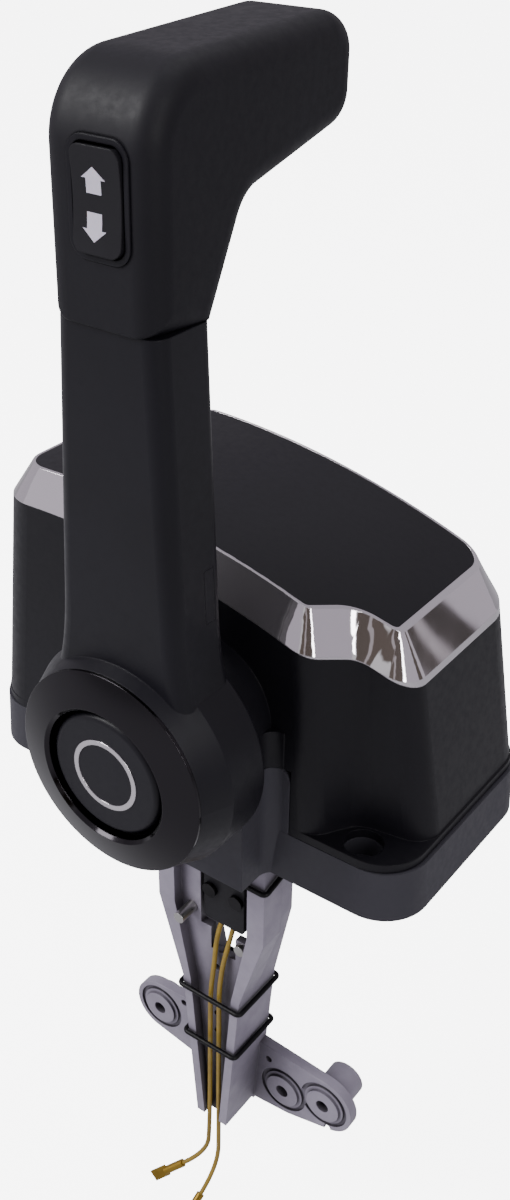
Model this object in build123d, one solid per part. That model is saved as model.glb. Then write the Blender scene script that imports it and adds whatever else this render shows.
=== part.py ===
from build123d import *
import math
import os

# Boat throttle control lever: top-mounted housing, single lever on one side, drive below the deck.
# Origin: centre of the base's underside, on the deck. +X runs along the base towards the low end
# of the housing, +Z is up, and the lever is on the -Y side. All sizes are in millimetres.

# ---------------------------------------------------------------- driving dimensions
# lever axis, parallel to Y
AXIS_X = 12.0
AXIS_Z = 55.5

# base and skirt
BASE_LENGTH = 171.0
BASE_WIDTH = 85.0
LEVER_SIDE_Y = -BASE_WIDTH / 2
BASE_CORNER_R = 16.0
SKIRT_HEIGHT = 18.0
SKIRT_DRAFT = 3.0
FLOOR = 4.0
WALL = 3.2

# fits
PART_GAP = 0.3
FACE_GAP = 0.05
RUNNING_FIT = 0.05
HIDDEN_GAP = 0.2

# housing: upper walls lean in by these angles (low end, high end, lever side, far side)
STEP_IN = 1.0
LEAN_LOW_END = 10.0
LEAN_HIGH_END = 6.8
LEAN_LEVER_SIDE = 0.3
LEAN_FAR_SIDE = 0.5
CORNER_R = 15.0
LOFT_TOP = 118.0
# screw pocket cut in one corner and repeated at the opposite one
POCKET_LENGTH = 31.0
POCKET_RUN = 9.0
POCKET_DEPTH = 14.0
POCKET_SKEW = 3.5
POCKET_LEAN = 4.3
POCKET_EDGE_R = 9.0
POCKET_ROOT_R = 9.0
POCKET_END_R = 9.0
POCKET_FLOOR = 3.0
LEAST_R = 0.6
# arched lid
DOME_R = 298.0
DOME_CREST_X = -48.5
DOME_CREST_Z = 111.2
TRIM_HEIGHT = 10.8
TRIM_SLOPE = 6.0
TRIM_WALL = 2.2
TRIM_LIP = 1.2
LID_RIM = 2.5
LID_THICK = 4.0
LID_EDGE_R = 0.8

# pedestal on the lever side
PEDESTAL_HALF_W = 24.5
PEDESTAL_REACH = 14.0
PEDESTAL_SHELL = 4.2
PEDESTAL_SPLIT_Z = 42.0
TAB_HALF_W = 32.0
TAB_THICK = 4.0
TAB_CORNER_R = 5.0
FLARE_R = 5.0

# deck fixings
FIXING_X = BASE_LENGTH / 2 - 19.0
FIXING_Y = BASE_WIDTH / 2 - 8.5
FIXING_HOLE_R = 3.3
FIXING_HEAD_R = 6.2
FIXING_SEAT_Z = 11.0
FIXING_BOSS_R = 7.4
BLIND_X = BASE_LENGTH / 2 - 24.5
BLIND_Y = BASE_WIDTH / 2 - 17.5
BLIND_HOLE_R = 2.5
BLIND_DEPTH = 14.0

# control frame below the deck
FRAME_FRONT_Y = LEVER_SIDE_Y + 2.5
FRAME_RELIEF = 1.5
WEB_FRONT_Y = LEVER_SIDE_Y + 20.5
WEB = 4.0
FACE_WEB_Y = LEVER_SIDE_Y + 6.5
FACE_WEB = 3.0
WINDOW_Z = -46.0
WINDOW_LEFT = 7.0
WINDOW_RIGHT = 14.0
LEAD_NOTCH_X = (9.5, 20.0)
LEAD_NOTCH_Z = -56.0
CHEEK = 3.5
HEAD_HALF_W = 19.0
HEAD_LENGTH = 38.0
EAR_HALF_W = 22.5
EAR_DEPTH = 10.0
NECK_HALF_W = 12.5
NECK_Z = -72.0
FOOT_HALF_W = 6.8
FRAME_BOTTOM_Z = -141.0
WING_TOP_Z = -108.0
WING_BOTTOM_Z = -143.0
WING_LEFT = 51.0
WING_RIGHT = 50.0
POST_X = (-38.6, 20.5, 38.5)
POST_Z = (-122.0, -128.0, -123.2)
POST_R = 7.0
POST_HOLE_R = 2.6
POST_BACK = (4.0, 4.0, 12.0)
POST_PROUD = 1.0
GROOVE_R = 10.0
GROOVE_W = 1.6
GROOVE_DEPTH = 1.0
WING_MARGIN = 5.0
TOWER_LEFT = 40.0
TOWER_RIGHT = 28.5
TOWER_TOP_Z = 84.0
TOWER_CORNER_R = 8.0
REAR_WEB_Z = -34.0
WING_HOLES = ((-27.0, -112.5), (13.5, -116.0), (40.5, -134.5))
WEB_HOLES_Z = (-64.0, -88.0, -97.0)
SMALL_HOLE_R = 1.4
MOUNT_FOOT_X = 33.0
MOUNT_FOOT_W = 9.0
MOUNT_FOOT_DEPTH = 15.0
SLOT_HALF_W = 27.0
ARM_SLOT_HALF_W = 53.0
ARM_SLOT_BACK_Y = LEVER_SIDE_Y + 46.5
CABLE_NOTCH_HALF_W = 8.0
CABLE_NOTCH_BACK_Y = LEVER_SIDE_Y + 58.5

# lugs, detent and friction brake on the frame
LUG_W = 12.0
LUG_H = 8.0
LUG_DEPTH = 7.0
DETENT_FRONT_Y = LEVER_SIDE_Y + 9.5
DETENT_BACK_Y = LEVER_SIDE_Y + 14.5
DETENT_R = 22.0
DETENT_STEP = 25.0
DETENT_SEAT_Z = 78.0
DETENT_SCREW_R = 1.5
NOTCH_R = 3.0
LEAF = 0.8
LEAF_BEND_R = 1.0
PAD_THICK = 4.0
FRICTION_SCREW_R = 2.0
HARNESS_PIN_R = 2.1
HARNESS_PIN_X = 10.7
HARNESS_PIN_Z = (-40.5, -48.5)
HARNESS_PIN_OUT = 4.0

# neutral switch in the frame's window
SWITCH_X = 15.0
SWITCH_HALF_W = 8.5
SWITCH_TOP_Z = -12.0
SWITCH_BOTTOM_Z = -42.0
SWITCH_BACK_Y = LEVER_SIDE_Y + 16.5
SWITCH_EDGE_R = 1.5
SWITCH_SCREW_X = 5.5
SWITCH_SCREW_Z = -28.0
SWITCH_BOSS_R = 3.2
PLUNGER_Y = LEVER_SIDE_Y + 14.5
PLUNGER_R = 1.5
PLUNGER_DEPTH = 6.0
PLUNGER_TRAVEL = 1.2

# shaft line
SHAFT_R = 8.0
SHAFT_REAR_R = 6.0
SHAFT_STEP_Y = LEVER_SIDE_Y + 25.5
SHAFT_BACK_Y = LEVER_SIDE_Y + 44.5
SHAFT_FRONT_Y = LEVER_SIDE_Y - 33.7
SHAFT_FLAT = 1.5
CLIP_WIDTH = 1.5
CLIP_GROOVE = 1.0
CLIP_WALL = 2.5
END_BUSH_R = 9.0
ROD_R = 3.0
ROD_BACK_Y = LEVER_SIDE_Y + 18.5
BUSH_WALL = 4.0
BUSH_FLANGE = 2.0
SEAL_WIDTH = 8.5
FRAME_SCREW_R = 2.0

# gears
GEAR_MODULE = 2.0
DRIVE_TEETH = 18
SECTOR_TEETH = 36
SECTOR_SPAN = 11
PRESSURE_ANGLE = 20.0
BACKLASH = 0.25
FLANK_STEPS = 3
SECTOR_RIM = 7.0
ARM_THICK = 4.0
SHIFT_ARM_Y = LEVER_SIDE_Y + 27.0
THROTTLE_ARM_Y = LEVER_SIDE_Y + 33.0
SHIFT_ARM_LENGTH = 42.0
THROTTLE_ARM_LENGTH = 38.0
ARM_END_R = 6.5
ARM_HUB_R = 10.5
PIVOT_R = 4.0
CABLE_PIN_R = 2.4
CABLE_PIN_OUT = 9.0
CABLE_SHANK_R = 2.0
SLEEVE_R = 6.0
CAM_R = 8.5
CAM_LOBE = 1.5
CAM_FRONT_Y = LEVER_SIDE_Y + 12.5
CAM_WIDTH = 5.0
PLATE_SCREW_R = 1.5
UPPER_PILLAR_X = 23.5
UPPER_PILLAR_Z = 44.0
LOWER_PILLAR_X = 10.0
LOWER_PILLAR_Z = -24.0
REAR_PLATE_Y = LEVER_SIDE_Y + 39.5
REAR_PLATE = 3.0
PILLAR_R = 3.5

# hub, arm and grip
HUB_R = 36.5
HUB_FRONT_Y = LEVER_SIDE_Y - 43.0
HUB_BACK_Y = LEVER_SIDE_Y - 18.0
HUB_TAPER_Y = LEVER_SIDE_Y - 33.5
HUB_RIM_R = 32.5
HUB_EDGE_R = 1.5
BEZEL_RISE = 4.0
BEZEL_BORE_R = 22.0
CAVITY_R = 21.0
HUB_FLOOR_Y = LEVER_SIDE_Y - 31.5
BUTTON_R = 19.6
BUTTON_RECESS = 1.4
BUTTON_THICK = 5.0
BUTTON_TRAVEL = 4.0
SPRING_R = 13.5
SPRING_WIRE_R = 0.7
SPRING_TURNS = 3
LEVER_LEAN = 0.7
ARM_FRONT_Y = LEVER_SIDE_Y - 39.0
ARM_BACK_Y = LEVER_SIDE_Y - 18.0
ARM_TOP_Z = 186.0
ARM_TOP_HALF_W = 16.5
ARM_LOW_Z = 107.0
ARM_LOW_HALF_W = 20.5
ARM_FLARE_ANGLE = 150.0
ARM_FRONT_EDGE_R = 5.0
ARM_BACK_EDGE_R = 3.0
TENON_INSET = 4.0
TENON_FRONT_INSET = 7.5
TENON_HEIGHT = 26.0
GRIP_TOP_Z = 245.5
GRIP_END_Y = LEVER_SIDE_Y + 42.0
GRIP_THICK = 27.0
GRIP_RISE = 4.0
GRIP_HALF_W = 17.0
GRIP_PROUD = 1.2
GRIP_THROAT = (LEVER_SIDE_Y - 2.5, 211.5)
GRIP_DROP = 4.0
GRIP_NOSE_R = 20.0
GRIP_END_R = 10.0
GRIP_THROAT_R = 10.0
GRIP_EDGE_R = 7.0
ROCKER_Z = 216.5
ROCKER_HALF_H = 12.2
ROCKER_HALF_W = 7.2
ROCKER_CORNER_R = 3.0
ROCKER_PROUD = 1.8
ROCKER_DEPTH = 7.0
ROCKER_FRAME = 1.4
ROCKER_TILT = 5.0
ROCKER_GAP = 0.5
ROCKER_DISH = 1.0
ROCKER_X = AXIS_X + 1.5
TRUNNION_R = 1.5
SET_SCREW_R = 3.0
SET_SCREW_LENGTH = 12.0
SET_SCREW_Y = LEVER_SIDE_Y - 24.5
INLAY_R = 11.5
INLAY_W = 1.6
INLAY_DEPTH = 0.6
WIRE_COVER_Z = (104.0, 120.0)
WIRE_COVER_Y = (LEVER_SIDE_Y - 25.5, LEVER_SIDE_Y - 21.5)
WIRE_COVER_DEPTH = 2.0
BEZEL_CROWN = 0.6
BEZEL_EDGE = 1.0

# ties and leads
TIE_R = 0.9
TIE_CORNER_R = 1.6
TIE_HEAD = 4.5
TIE_TOP_Z = (-13.0, -8.0)
TIE_MID_Z = -75.8
TIE_LOW_Z = -99.5
LEAD_R = 0.9
TERMINAL_R = 1.6
TERMINAL_LENGTH = 9.0
BLADE_W = 4.5
BLADE_THICK = 0.8
BLADE_LENGTH = 7.0

# ---------------------------------------------------------------- values worked out from these
HALF_L = BASE_LENGTH / 2
HALF_W = BASE_WIDTH / 2
BODY_HALF_L = HALF_L - 2 * STEP_IN
BODY_HALF_W = HALF_W - STEP_IN
PEDESTAL_FRONT_Y = -BODY_HALF_W - PEDESTAL_REACH
WALL_INNER_Y = -HALF_W + TAB_THICK
PIVOT_Z = AXIS_Z - GEAR_MODULE * (DRIVE_TEETH + SECTOR_TEETH) / 2
WEB_BACK_Y = WEB_FRONT_Y + WEB
RIM_Y = HUB_FRONT_Y - BEZEL_RISE
GRIP_FRONT_Y = ARM_FRONT_Y - GRIP_PROUD
GRIP_BACK_Y = ARM_BACK_Y + GRIP_PROUD
SEAL_R = SHAFT_R + SEAL_WIDTH
BUSH_R = SHAFT_R + BUSH_WALL
BEARING_FRONT_Y = PEDESTAL_FRONT_Y + PEDESTAL_SHELL + PART_GAP
FOOT_SCREW_Y = (WALL_INNER_Y + PART_GAP + WEB_FRONT_Y) / 2

DETENT_MID_Y = (DETENT_FRONT_Y + DETENT_BACK_Y) / 2
LUG_X = AXIS_X - TOWER_LEFT
CAM_BOTTOM_Z = PIVOT_Z - CAM_R - CAM_LOBE
BUTTON_FRONT_Y = RIM_Y + BUTTON_RECESS
BUTTON_BACK_Y = BUTTON_FRONT_Y + BUTTON_THICK
ROCKER_PIVOT_Y = GRIP_FRONT_Y + ROCKER_DEPTH / 2

parts = {}


def tan_deg(angle):
    return math.tan(math.radians(angle))


def along_y(sketch, y_from, y_to):
    """Extrude a sketch drawn as (x, z) from one Y to another."""
    return extrude(Plane.XZ.offset(-y_from) * sketch, amount=y_from - y_to)


def disc_y(radius, x, z, y_from, y_to):
    """A cylinder along Y between two Y planes."""
    return along_y(Pos(x, z) * Circle(radius), y_from, y_to)


def tube_y(outer, inner, x, z, y_from, y_to):
    """A plain bush along Y."""
    return along_y(Pos(x, z) * (Circle(outer) - Circle(inner)), y_from, y_to)


def slab(x0, x1, y0, y1, z0, z1):
    """A block between two corners."""
    size = (x1 - x0, y1 - y0, z1 - z0)
    return Pos((x0 + x1) / 2, (y0 + y1) / 2, (z0 + z1) / 2) * Box(*size)


def lean(shape):
    """Stand a piece of the lever at its neutral lean about the hub axis."""
    axis = Axis((AXIS_X, 0, AXIS_Z), (0, 1, 0))
    return shape.rotate(axis, LEVER_LEAN)


# ---------------------------------------------------------------- housing outline
def housing_corners(z):
    """Plan corners of the housing at height z as (x, y, radius), anticlockwise from the high end."""
    rise = z - SKIRT_HEIGHT
    x_high = -BODY_HALF_L + rise * tan_deg(LEAN_HIGH_END)
    x_low = BODY_HALF_L - rise * tan_deg(LEAN_LOW_END)
    y_lever = -BODY_HALF_W + rise * tan_deg(LEAN_LEVER_SIDE)
    y_far = BODY_HALF_W - rise * tan_deg(LEAN_FAR_SIDE)
    x_pocket = BODY_HALF_L - POCKET_LENGTH - rise * tan_deg(POCKET_LEAN)
    y_pocket = BODY_HALF_W - POCKET_DEPTH
    return [
        (x_high, y_lever, CORNER_R),
        (x_pocket, y_lever, POCKET_EDGE_R),
        (x_pocket + POCKET_RUN, -y_pocket, POCKET_ROOT_R),
        (x_low, -y_pocket + POCKET_SKEW, POCKET_END_R),
        (x_low, y_far, CORNER_R),
        (-x_pocket, y_far, POCKET_EDGE_R),
        (-x_pocket - POCKET_RUN, y_pocket, POCKET_ROOT_R),
        (x_high, y_pocket - POCKET_SKEW, POCKET_END_R),
    ]


def inset_outline(corners, inset):
    """Close a filleted outline whose sides all stand in by the same amount."""
    sides = []
    for a, b in zip(corners, corners[1:] + corners[:1]):
        dx, dy = b[0] - a[0], b[1] - a[1]
        run = math.hypot(dx, dy)
        dx, dy = dx / run, dy / run
        sides.append((a[0] - dy * inset, a[1] + dx * inset, dx, dy))
    points = []
    radii = []
    for i, side in enumerate(sides):
        last = sides[i - 1]
        turn = last[2] * side[3] - last[3] * side[2]
        step = ((side[0] - last[0]) * side[3] - (side[1] - last[1]) * side[2]) / turn
        points.append((last[0] + last[2] * step, last[1] + last[3] * step))
        radii.append(max(corners[i][2] - inset, LEAST_R) if turn > 0 else corners[i][2] + inset)
    return make_face(FilletPolyline(*points, radius=radii, close=True))


def housing_block(inset):
    """The housing's tapered block, taller than the lid, with all walls standing in by inset."""
    low = Pos(0, 0, SKIRT_HEIGHT) * inset_outline(housing_corners(SKIRT_HEIGHT), inset)
    high = Pos(0, 0, LOFT_TOP) * inset_outline(housing_corners(LOFT_TOP), inset)
    return loft([low, high], ruled=True)


def under_dome(drop):
    """Everything below the lid's arch, lowered by drop."""
    arch = Pos(DOME_CREST_X, DOME_CREST_Z - DOME_R) * Circle(DOME_R - drop)
    return along_y(arch, -BASE_WIDTH, BASE_WIDTH)


def tombstone(half_width, z_low, z_high_centre):
    """Upright shape with a round top about the lever axis, drawn as (x, z)."""
    body = Pos(AXIS_X, (z_low + z_high_centre) / 2) * Rectangle(2 * half_width, z_high_centre - z_low)
    return body + Pos(AXIS_X, z_high_centre) * Circle(half_width)


def pedestal(half_width, y_front, y_back, z_low):
    return along_y(tombstone(half_width, z_low, AXIS_Z), y_front, y_back)


def flared_foot(z_low, z_high):
    """Concave blend between the pedestal's flanks and the housing wall."""
    pieces = []
    for side in (-1, 1):
        x = AXIS_X + side * PEDESTAL_HALF_W
        y = -BODY_HALF_W
        block = slab(min(x, x + side * FLARE_R), max(x, x + side * FLARE_R), y - FLARE_R, y + WALL,
                     z_low, z_high)
        hollow = Pos(x + side * FLARE_R, y - FLARE_R, (z_low + z_high) / 2) * Cylinder(
            FLARE_R, z_high - z_low + 2)
        pieces.append(block - hollow)
    return pieces


def fixing_points():
    """Deck fixings: the two in the screw pockets first, then the two blind ones."""
    through = [(FIXING_X, -FIXING_Y), (-FIXING_X, FIXING_Y)]
    blind = [(-BLIND_X, -BLIND_Y), (BLIND_X, BLIND_Y)]
    return through, blind


# ---------------------------------------------------------------- base and housing shells
def make_base_frame():
    footprint = RectangleRounded(BASE_LENGTH, BASE_WIDTH, BASE_CORNER_R)
    skirt = extrude(footprint, amount=SKIRT_HEIGHT - HIDDEN_GAP, taper=SKIRT_DRAFT)
    inside = offset(footprint, amount=-WALL - SKIRT_HEIGHT * tan_deg(SKIRT_DRAFT))
    skirt -= Pos(0, 0, FLOOR) * extrude(inside, amount=SKIRT_HEIGHT)
    tab = along_y(
        Pos(AXIS_X, PEDESTAL_SPLIT_Z / 2)
        * RectangleRounded(2 * TAB_HALF_W, PEDESTAL_SPLIT_Z, TAB_CORNER_R),
        -BODY_HALF_W, WALL_INNER_Y)
    tab += slab(AXIS_X - TAB_HALF_W, AXIS_X + TAB_HALF_W, -BODY_HALF_W, WALL_INNER_Y, 0, SKIRT_HEIGHT)
    low_block = slab(AXIS_X - PEDESTAL_HALF_W, AXIS_X + PEDESTAL_HALF_W, PEDESTAL_FRONT_Y,
                     WALL_INNER_Y, 0, PEDESTAL_SPLIT_Z)
    bearing_block = pedestal(PEDESTAL_HALF_W - PEDESTAL_SHELL - PART_GAP,
                             BEARING_FRONT_Y, WALL_INNER_Y, FLOOR)
    frame = skirt + tab + low_block + bearing_block
    for piece in flared_foot(0, PEDESTAL_SPLIT_Z):
        frame += piece
    through, blind = fixing_points()
    boss_top = SKIRT_HEIGHT - HIDDEN_GAP
    for x, y in through + blind:
        frame += Pos(x, y, boss_top / 2) * Cylinder(FIXING_BOSS_R, boss_top)
    for x, y in through:
        frame -= Pos(x, y, boss_top / 2) * Cylinder(FIXING_HOLE_R, 2 * boss_top)
        frame -= Pos(x, y, FIXING_SEAT_Z + boss_top / 2) * Cylinder(FIXING_HEAD_R, boss_top)
    for x, y in blind:
        frame -= Pos(x, y, BLIND_DEPTH / 2) * Cylinder(BLIND_HOLE_R, BLIND_DEPTH)
    # openings for the drive, the arms and the shaft
    frame -= slab(AXIS_X - SLOT_HALF_W, AXIS_X + SLOT_HALF_W, WALL_INNER_Y, ARM_SLOT_BACK_Y, -1, FLOOR + 1)
    frame -= slab(AXIS_X - ARM_SLOT_HALF_W, AXIS_X + ARM_SLOT_HALF_W, WEB_BACK_Y + HIDDEN_GAP,
                  ARM_SLOT_BACK_Y, -1, FLOOR + 1)
    for x in (AXIS_X - SHIFT_ARM_LENGTH, AXIS_X + THROTTLE_ARM_LENGTH):
        frame -= slab(x - CABLE_NOTCH_HALF_W, x + CABLE_NOTCH_HALF_W, ARM_SLOT_BACK_Y - 1,
                      CABLE_NOTCH_BACK_Y, -1, FLOOR + 1)
    relief_x = EAR_HALF_W + 1
    frame -= slab(AXIS_X - relief_x, AXIS_X + relief_x, FRAME_FRONT_Y - 1, WALL_INNER_Y + 1, -1, FRAME_RELIEF)
    frame -= disc_y(BUSH_R + FACE_GAP, AXIS_X, AXIS_Z, PEDESTAL_FRONT_Y - 1, WALL_INNER_Y + 1)
    frame -= disc_y(SEAL_R + HIDDEN_GAP, AXIS_X, AXIS_Z, PEDESTAL_FRONT_Y - 1, BEARING_FRONT_Y)
    for side in (-1, 1):
        x = AXIS_X + side * MOUNT_FOOT_X
        frame -= Pos(x, FOOT_SCREW_Y, FLOOR / 2) * Cylinder(FRAME_SCREW_R, 2 * FLOOR)
    return frame


def make_housing_cover():
    shelf = extrude(
        Pos(0, 0, SKIRT_HEIGHT) * RectangleRounded(2 * BODY_HALF_L, 2 * BODY_HALF_W, CORNER_R),
        amount=POCKET_FLOOR)
    outer = housing_block(0) & under_dome(TRIM_HEIGHT + FACE_GAP)
    boss_top = pedestal(PEDESTAL_HALF_W, PEDESTAL_FRONT_Y, -BODY_HALF_W + WALL,
                        PEDESTAL_SPLIT_Z + HIDDEN_GAP)
    cover = outer + shelf + boss_top
    for piece in flared_foot(PEDESTAL_SPLIT_Z + HIDDEN_GAP, AXIS_Z):
        cover += piece
    cover -= housing_block(WALL)
    cover -= pedestal(PEDESTAL_HALF_W - PEDESTAL_SHELL, PEDESTAL_FRONT_Y + PEDESTAL_SHELL,
                      WALL_INNER_Y + WALL, 0)
    cover -= slab(AXIS_X - TAB_HALF_W - HIDDEN_GAP, AXIS_X + TAB_HALF_W + HIDDEN_GAP,
                  PEDESTAL_FRONT_Y - 1, WALL_INNER_Y + PART_GAP, 0, PEDESTAL_SPLIT_Z + HIDDEN_GAP)
    cover -= disc_y(SEAL_R + HIDDEN_GAP, AXIS_X, AXIS_Z, PEDESTAL_FRONT_Y - 1, WALL_INNER_Y)
    for x, y in fixing_points()[0]:
        cover -= Pos(x, y, SKIRT_HEIGHT) * Cylinder(FIXING_HEAD_R, 4 * POCKET_FLOOR)
    return cover


def make_chrome_trim():
    ring = (housing_block(0) & under_dome(0)) - under_dome(TRIM_HEIGHT)
    solid = ring.solids().sort_by(SortBy.VOLUME)[-1]
    top = [f for f in solid.faces() if f.geom_type == GeomType.CYLINDER and abs(f.radius - DOME_R) < 0.01][0]
    solid = chamfer(top.outer_wire().edges(), length=TRIM_SLOPE, length2=TRIM_HEIGHT - FACE_GAP,
                    reference=top)
    return solid - housing_block(TRIM_SLOPE + TRIM_WALL - TRIM_LIP)


def make_top_cover():
    seat = TRIM_SLOPE + TRIM_WALL - TRIM_LIP + FACE_GAP
    lid = (housing_block(seat) & under_dome(0)) - under_dome(LID_THICK)
    skirt = (housing_block(seat) & under_dome(LID_THICK)) - under_dome(TRIM_HEIGHT - FACE_GAP)
    return lid + (skirt - housing_block(seat + LID_RIM))


def make_shaft_seal():
    return tube_y(SEAL_R, SHAFT_R + RUNNING_FIT, AXIS_X, AXIS_Z, HUB_BACK_Y + PART_GAP,
                  BEARING_FRONT_Y - BUSH_FLANGE - PART_GAP)


# ---------------------------------------------------------------- control frame
def mirrored(points):
    """Close a right-hand half outline with its mirror image about the lever axis."""
    right = [(AXIS_X + x, z) for x, z in points]
    left = [(AXIS_X - x, z) for x, z in reversed(points)]
    return make_face(Polyline(*right, *left, close=True))


def channel_half_width(z):
    """Outer half-width of the channel at a height between its neck and its foot."""
    share = (NECK_Z - z) / (NECK_Z - FRAME_BOTTOM_Z)
    return NECK_HALF_W + share * (FOOT_HALF_W - NECK_HALF_W)


def channel_outline(shrink, z_top, z_bottom):
    return mirrored([
        (HEAD_HALF_W - shrink, z_top),
        (HEAD_HALF_W - shrink, -HEAD_LENGTH),
        (NECK_HALF_W - shrink, NECK_Z),
        (FOOT_HALF_W - shrink, z_bottom),
    ])


def wing(posts, inner_x):
    """One wing of the anchor plate: a hull round its posts and the foot of the channel."""
    edges = Edge.make_line((inner_x, WING_TOP_Z), (inner_x, WING_BOTTOM_Z)).edges()
    for x, z in posts:
        edges += (Pos(x, z) * Circle(POST_R + WING_MARGIN)).edges()
    return make_hull(edges)


def post_points():
    return [(AXIS_X + x, z) for x, z in zip(POST_X, POST_Z)]


def make_control_frame():
    floor_z = -PART_GAP
    cheeks = along_y(channel_outline(0, floor_z, FRAME_BOTTOM_Z), FRAME_FRONT_Y, WEB_BACK_Y)
    cheeks -= along_y(channel_outline(CHEEK, 1, FRAME_BOTTOM_Z - 1), FRAME_FRONT_Y - 1, WEB_BACK_Y + 1)
    ears = along_y(mirrored([
        (EAR_HALF_W, floor_z),
        (EAR_HALF_W, -HEAD_LENGTH),
        (NECK_HALF_W, NECK_Z),
    ]), FRAME_FRONT_Y, FRAME_FRONT_Y + EAR_DEPTH)
    ears -= along_y(channel_outline(CHEEK, 1, FRAME_BOTTOM_Z), FRAME_FRONT_Y - 1, WEB_BACK_Y + 1)
    face_web = along_y(channel_outline(CHEEK - PART_GAP, floor_z, FRAME_BOTTOM_Z),
                       FACE_WEB_Y, FACE_WEB_Y + FACE_WEB)
    face_web -= slab(AXIS_X - WINDOW_LEFT, AXIS_X + WINDOW_RIGHT, FACE_WEB_Y - 1, FACE_WEB_Y + FACE_WEB + 1,
                     WINDOW_Z, 1)
    face_web -= slab(LEAD_NOTCH_X[0], LEAD_NOTCH_X[1], FACE_WEB_Y - 1, FACE_WEB_Y + FACE_WEB + 1,
                     LEAD_NOTCH_Z, 1)
    # tower above the deck, carried on two feet, and the rear web below it
    tower_z = (FLOOR + TOWER_TOP_Z) / 2
    tower = along_y(
        Pos(AXIS_X + (TOWER_RIGHT - TOWER_LEFT) / 2, tower_z)
        * RectangleRounded(TOWER_LEFT + TOWER_RIGHT, TOWER_TOP_Z - FLOOR, TOWER_CORNER_R),
        WEB_FRONT_Y, WEB_BACK_Y)
    foot_x = MOUNT_FOOT_X + MOUNT_FOOT_W / 2
    tower += slab(AXIS_X - foot_x, AXIS_X + foot_x, WEB_FRONT_Y, WEB_BACK_Y, FLOOR, 2 * FLOOR)
    tower += slab(AXIS_X - HEAD_HALF_W, AXIS_X + HEAD_HALF_W, WEB_FRONT_Y, WEB_BACK_Y, REAR_WEB_Z, 2 * FLOOR)
    for side in (-1, 1):
        x = AXIS_X + side * MOUNT_FOOT_X
        foot = slab(x - MOUNT_FOOT_W / 2, x + MOUNT_FOOT_W / 2, WALL_INNER_Y + PART_GAP, WEB_BACK_Y,
                    FLOOR, 2 * FLOOR)
        tower += foot - Pos(x, FOOT_SCREW_Y, 2 * FLOOR) * Cylinder(FRAME_SCREW_R + HIDDEN_GAP, 4 * FLOOR)
    frame = cheeks + ears + face_web + tower
    # wings with their cable anchor posts
    posts = post_points()
    plates = wing(posts[:1], AXIS_X + FOOT_HALF_W) + wing(posts[1:], AXIS_X - FOOT_HALF_W)
    frame += along_y(plates, WEB_FRONT_Y, WEB_BACK_Y)
    for (x, z), post_back in zip(posts, POST_BACK):
        frame += disc_y(POST_R, x, z, WEB_FRONT_Y - POST_PROUD, WEB_BACK_Y + post_back)
        frame -= tube_y(GROOVE_R, GROOVE_R - GROOVE_W, x, z, WEB_FRONT_Y - POST_PROUD,
                        WEB_FRONT_Y + GROOVE_DEPTH)
        frame -= disc_y(POST_HOLE_R, x, z, WEB_FRONT_Y - POST_PROUD - 1, WEB_BACK_Y + post_back + 1)
    for x, z in WING_HOLES:
        frame -= disc_y(SMALL_HOLE_R, AXIS_X + x, z, WEB_FRONT_Y - 1, WEB_BACK_Y + 1)
    for z in WEB_HOLES_Z:
        frame -= disc_y(SMALL_HOLE_R, AXIS_X, z, FACE_WEB_Y - 1, FACE_WEB_Y + FACE_WEB + 1)
    # lugs for the detent spring and the friction screw
    frame += slab(LUG_X, LUG_X + LUG_W, DETENT_BACK_Y - LUG_DEPTH, WEB_FRONT_Y,
                  DETENT_SEAT_Z - LUG_H, DETENT_SEAT_Z)
    frame -= Pos(LUG_X + LUG_W / 2, DETENT_MID_Y, DETENT_SEAT_Z) * Cylinder(DETENT_SCREW_R, 2 * LUG_H)
    frame += slab(LUG_X, LUG_X + LUG_H, DETENT_BACK_Y - LUG_DEPTH, WEB_FRONT_Y,
                  AXIS_Z - LUG_W / 2, AXIS_Z + LUG_W / 2)
    frame -= Pos(LUG_X, DETENT_MID_Y, AXIS_Z) * Rot(0, 90, 0) * Cylinder(FRICTION_SCREW_R, 4 * LUG_H)
    for x in switch_screw_x():
        frame += disc_y(SWITCH_BOSS_R, x, SWITCH_SCREW_Z, SWITCH_BACK_Y, WEB_FRONT_Y)
        frame -= disc_y(PLATE_SCREW_R, x, SWITCH_SCREW_Z, SWITCH_BACK_Y - 1, WEB_BACK_Y + 1)
    # bores of the shaft line, pivot, pillars and pins
    frame -= disc_y(BUSH_R + FACE_GAP, AXIS_X, AXIS_Z, WEB_FRONT_Y - 1, WEB_BACK_Y + 1)
    frame -= disc_y(SLEEVE_R + RUNNING_FIT, AXIS_X, PIVOT_Z, WEB_FRONT_Y - 1, WEB_BACK_Y + 1)
    for x, z in pillar_points():
        frame -= disc_y(PLATE_SCREW_R, x, z, WEB_FRONT_Y - 1, WEB_BACK_Y + 1)
    for x, z, y_back in harness_pin_points():
        frame -= disc_y(HARNESS_PIN_R, x, z, FRAME_FRONT_Y - 2 * HARNESS_PIN_R, y_back)
    return frame


def pillar_points():
    """The rear plate's four pillars as (x, z)."""
    return [
        (AXIS_X - UPPER_PILLAR_X, UPPER_PILLAR_Z),
        (AXIS_X + UPPER_PILLAR_X, UPPER_PILLAR_Z),
        (AXIS_X + LOWER_PILLAR_X, LOWER_PILLAR_Z),
        (AXIS_X - LOWER_PILLAR_X, LOWER_PILLAR_Z),
    ]


def harness_pin_points():
    """Two pins of the face web as (x, z, y of the inner end)."""
    inner = FACE_WEB_Y + FACE_WEB
    return [(AXIS_X - HARNESS_PIN_X, HARNESS_PIN_Z[0], inner), (AXIS_X + HARNESS_PIN_X, HARNESS_PIN_Z[1], inner)]


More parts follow.
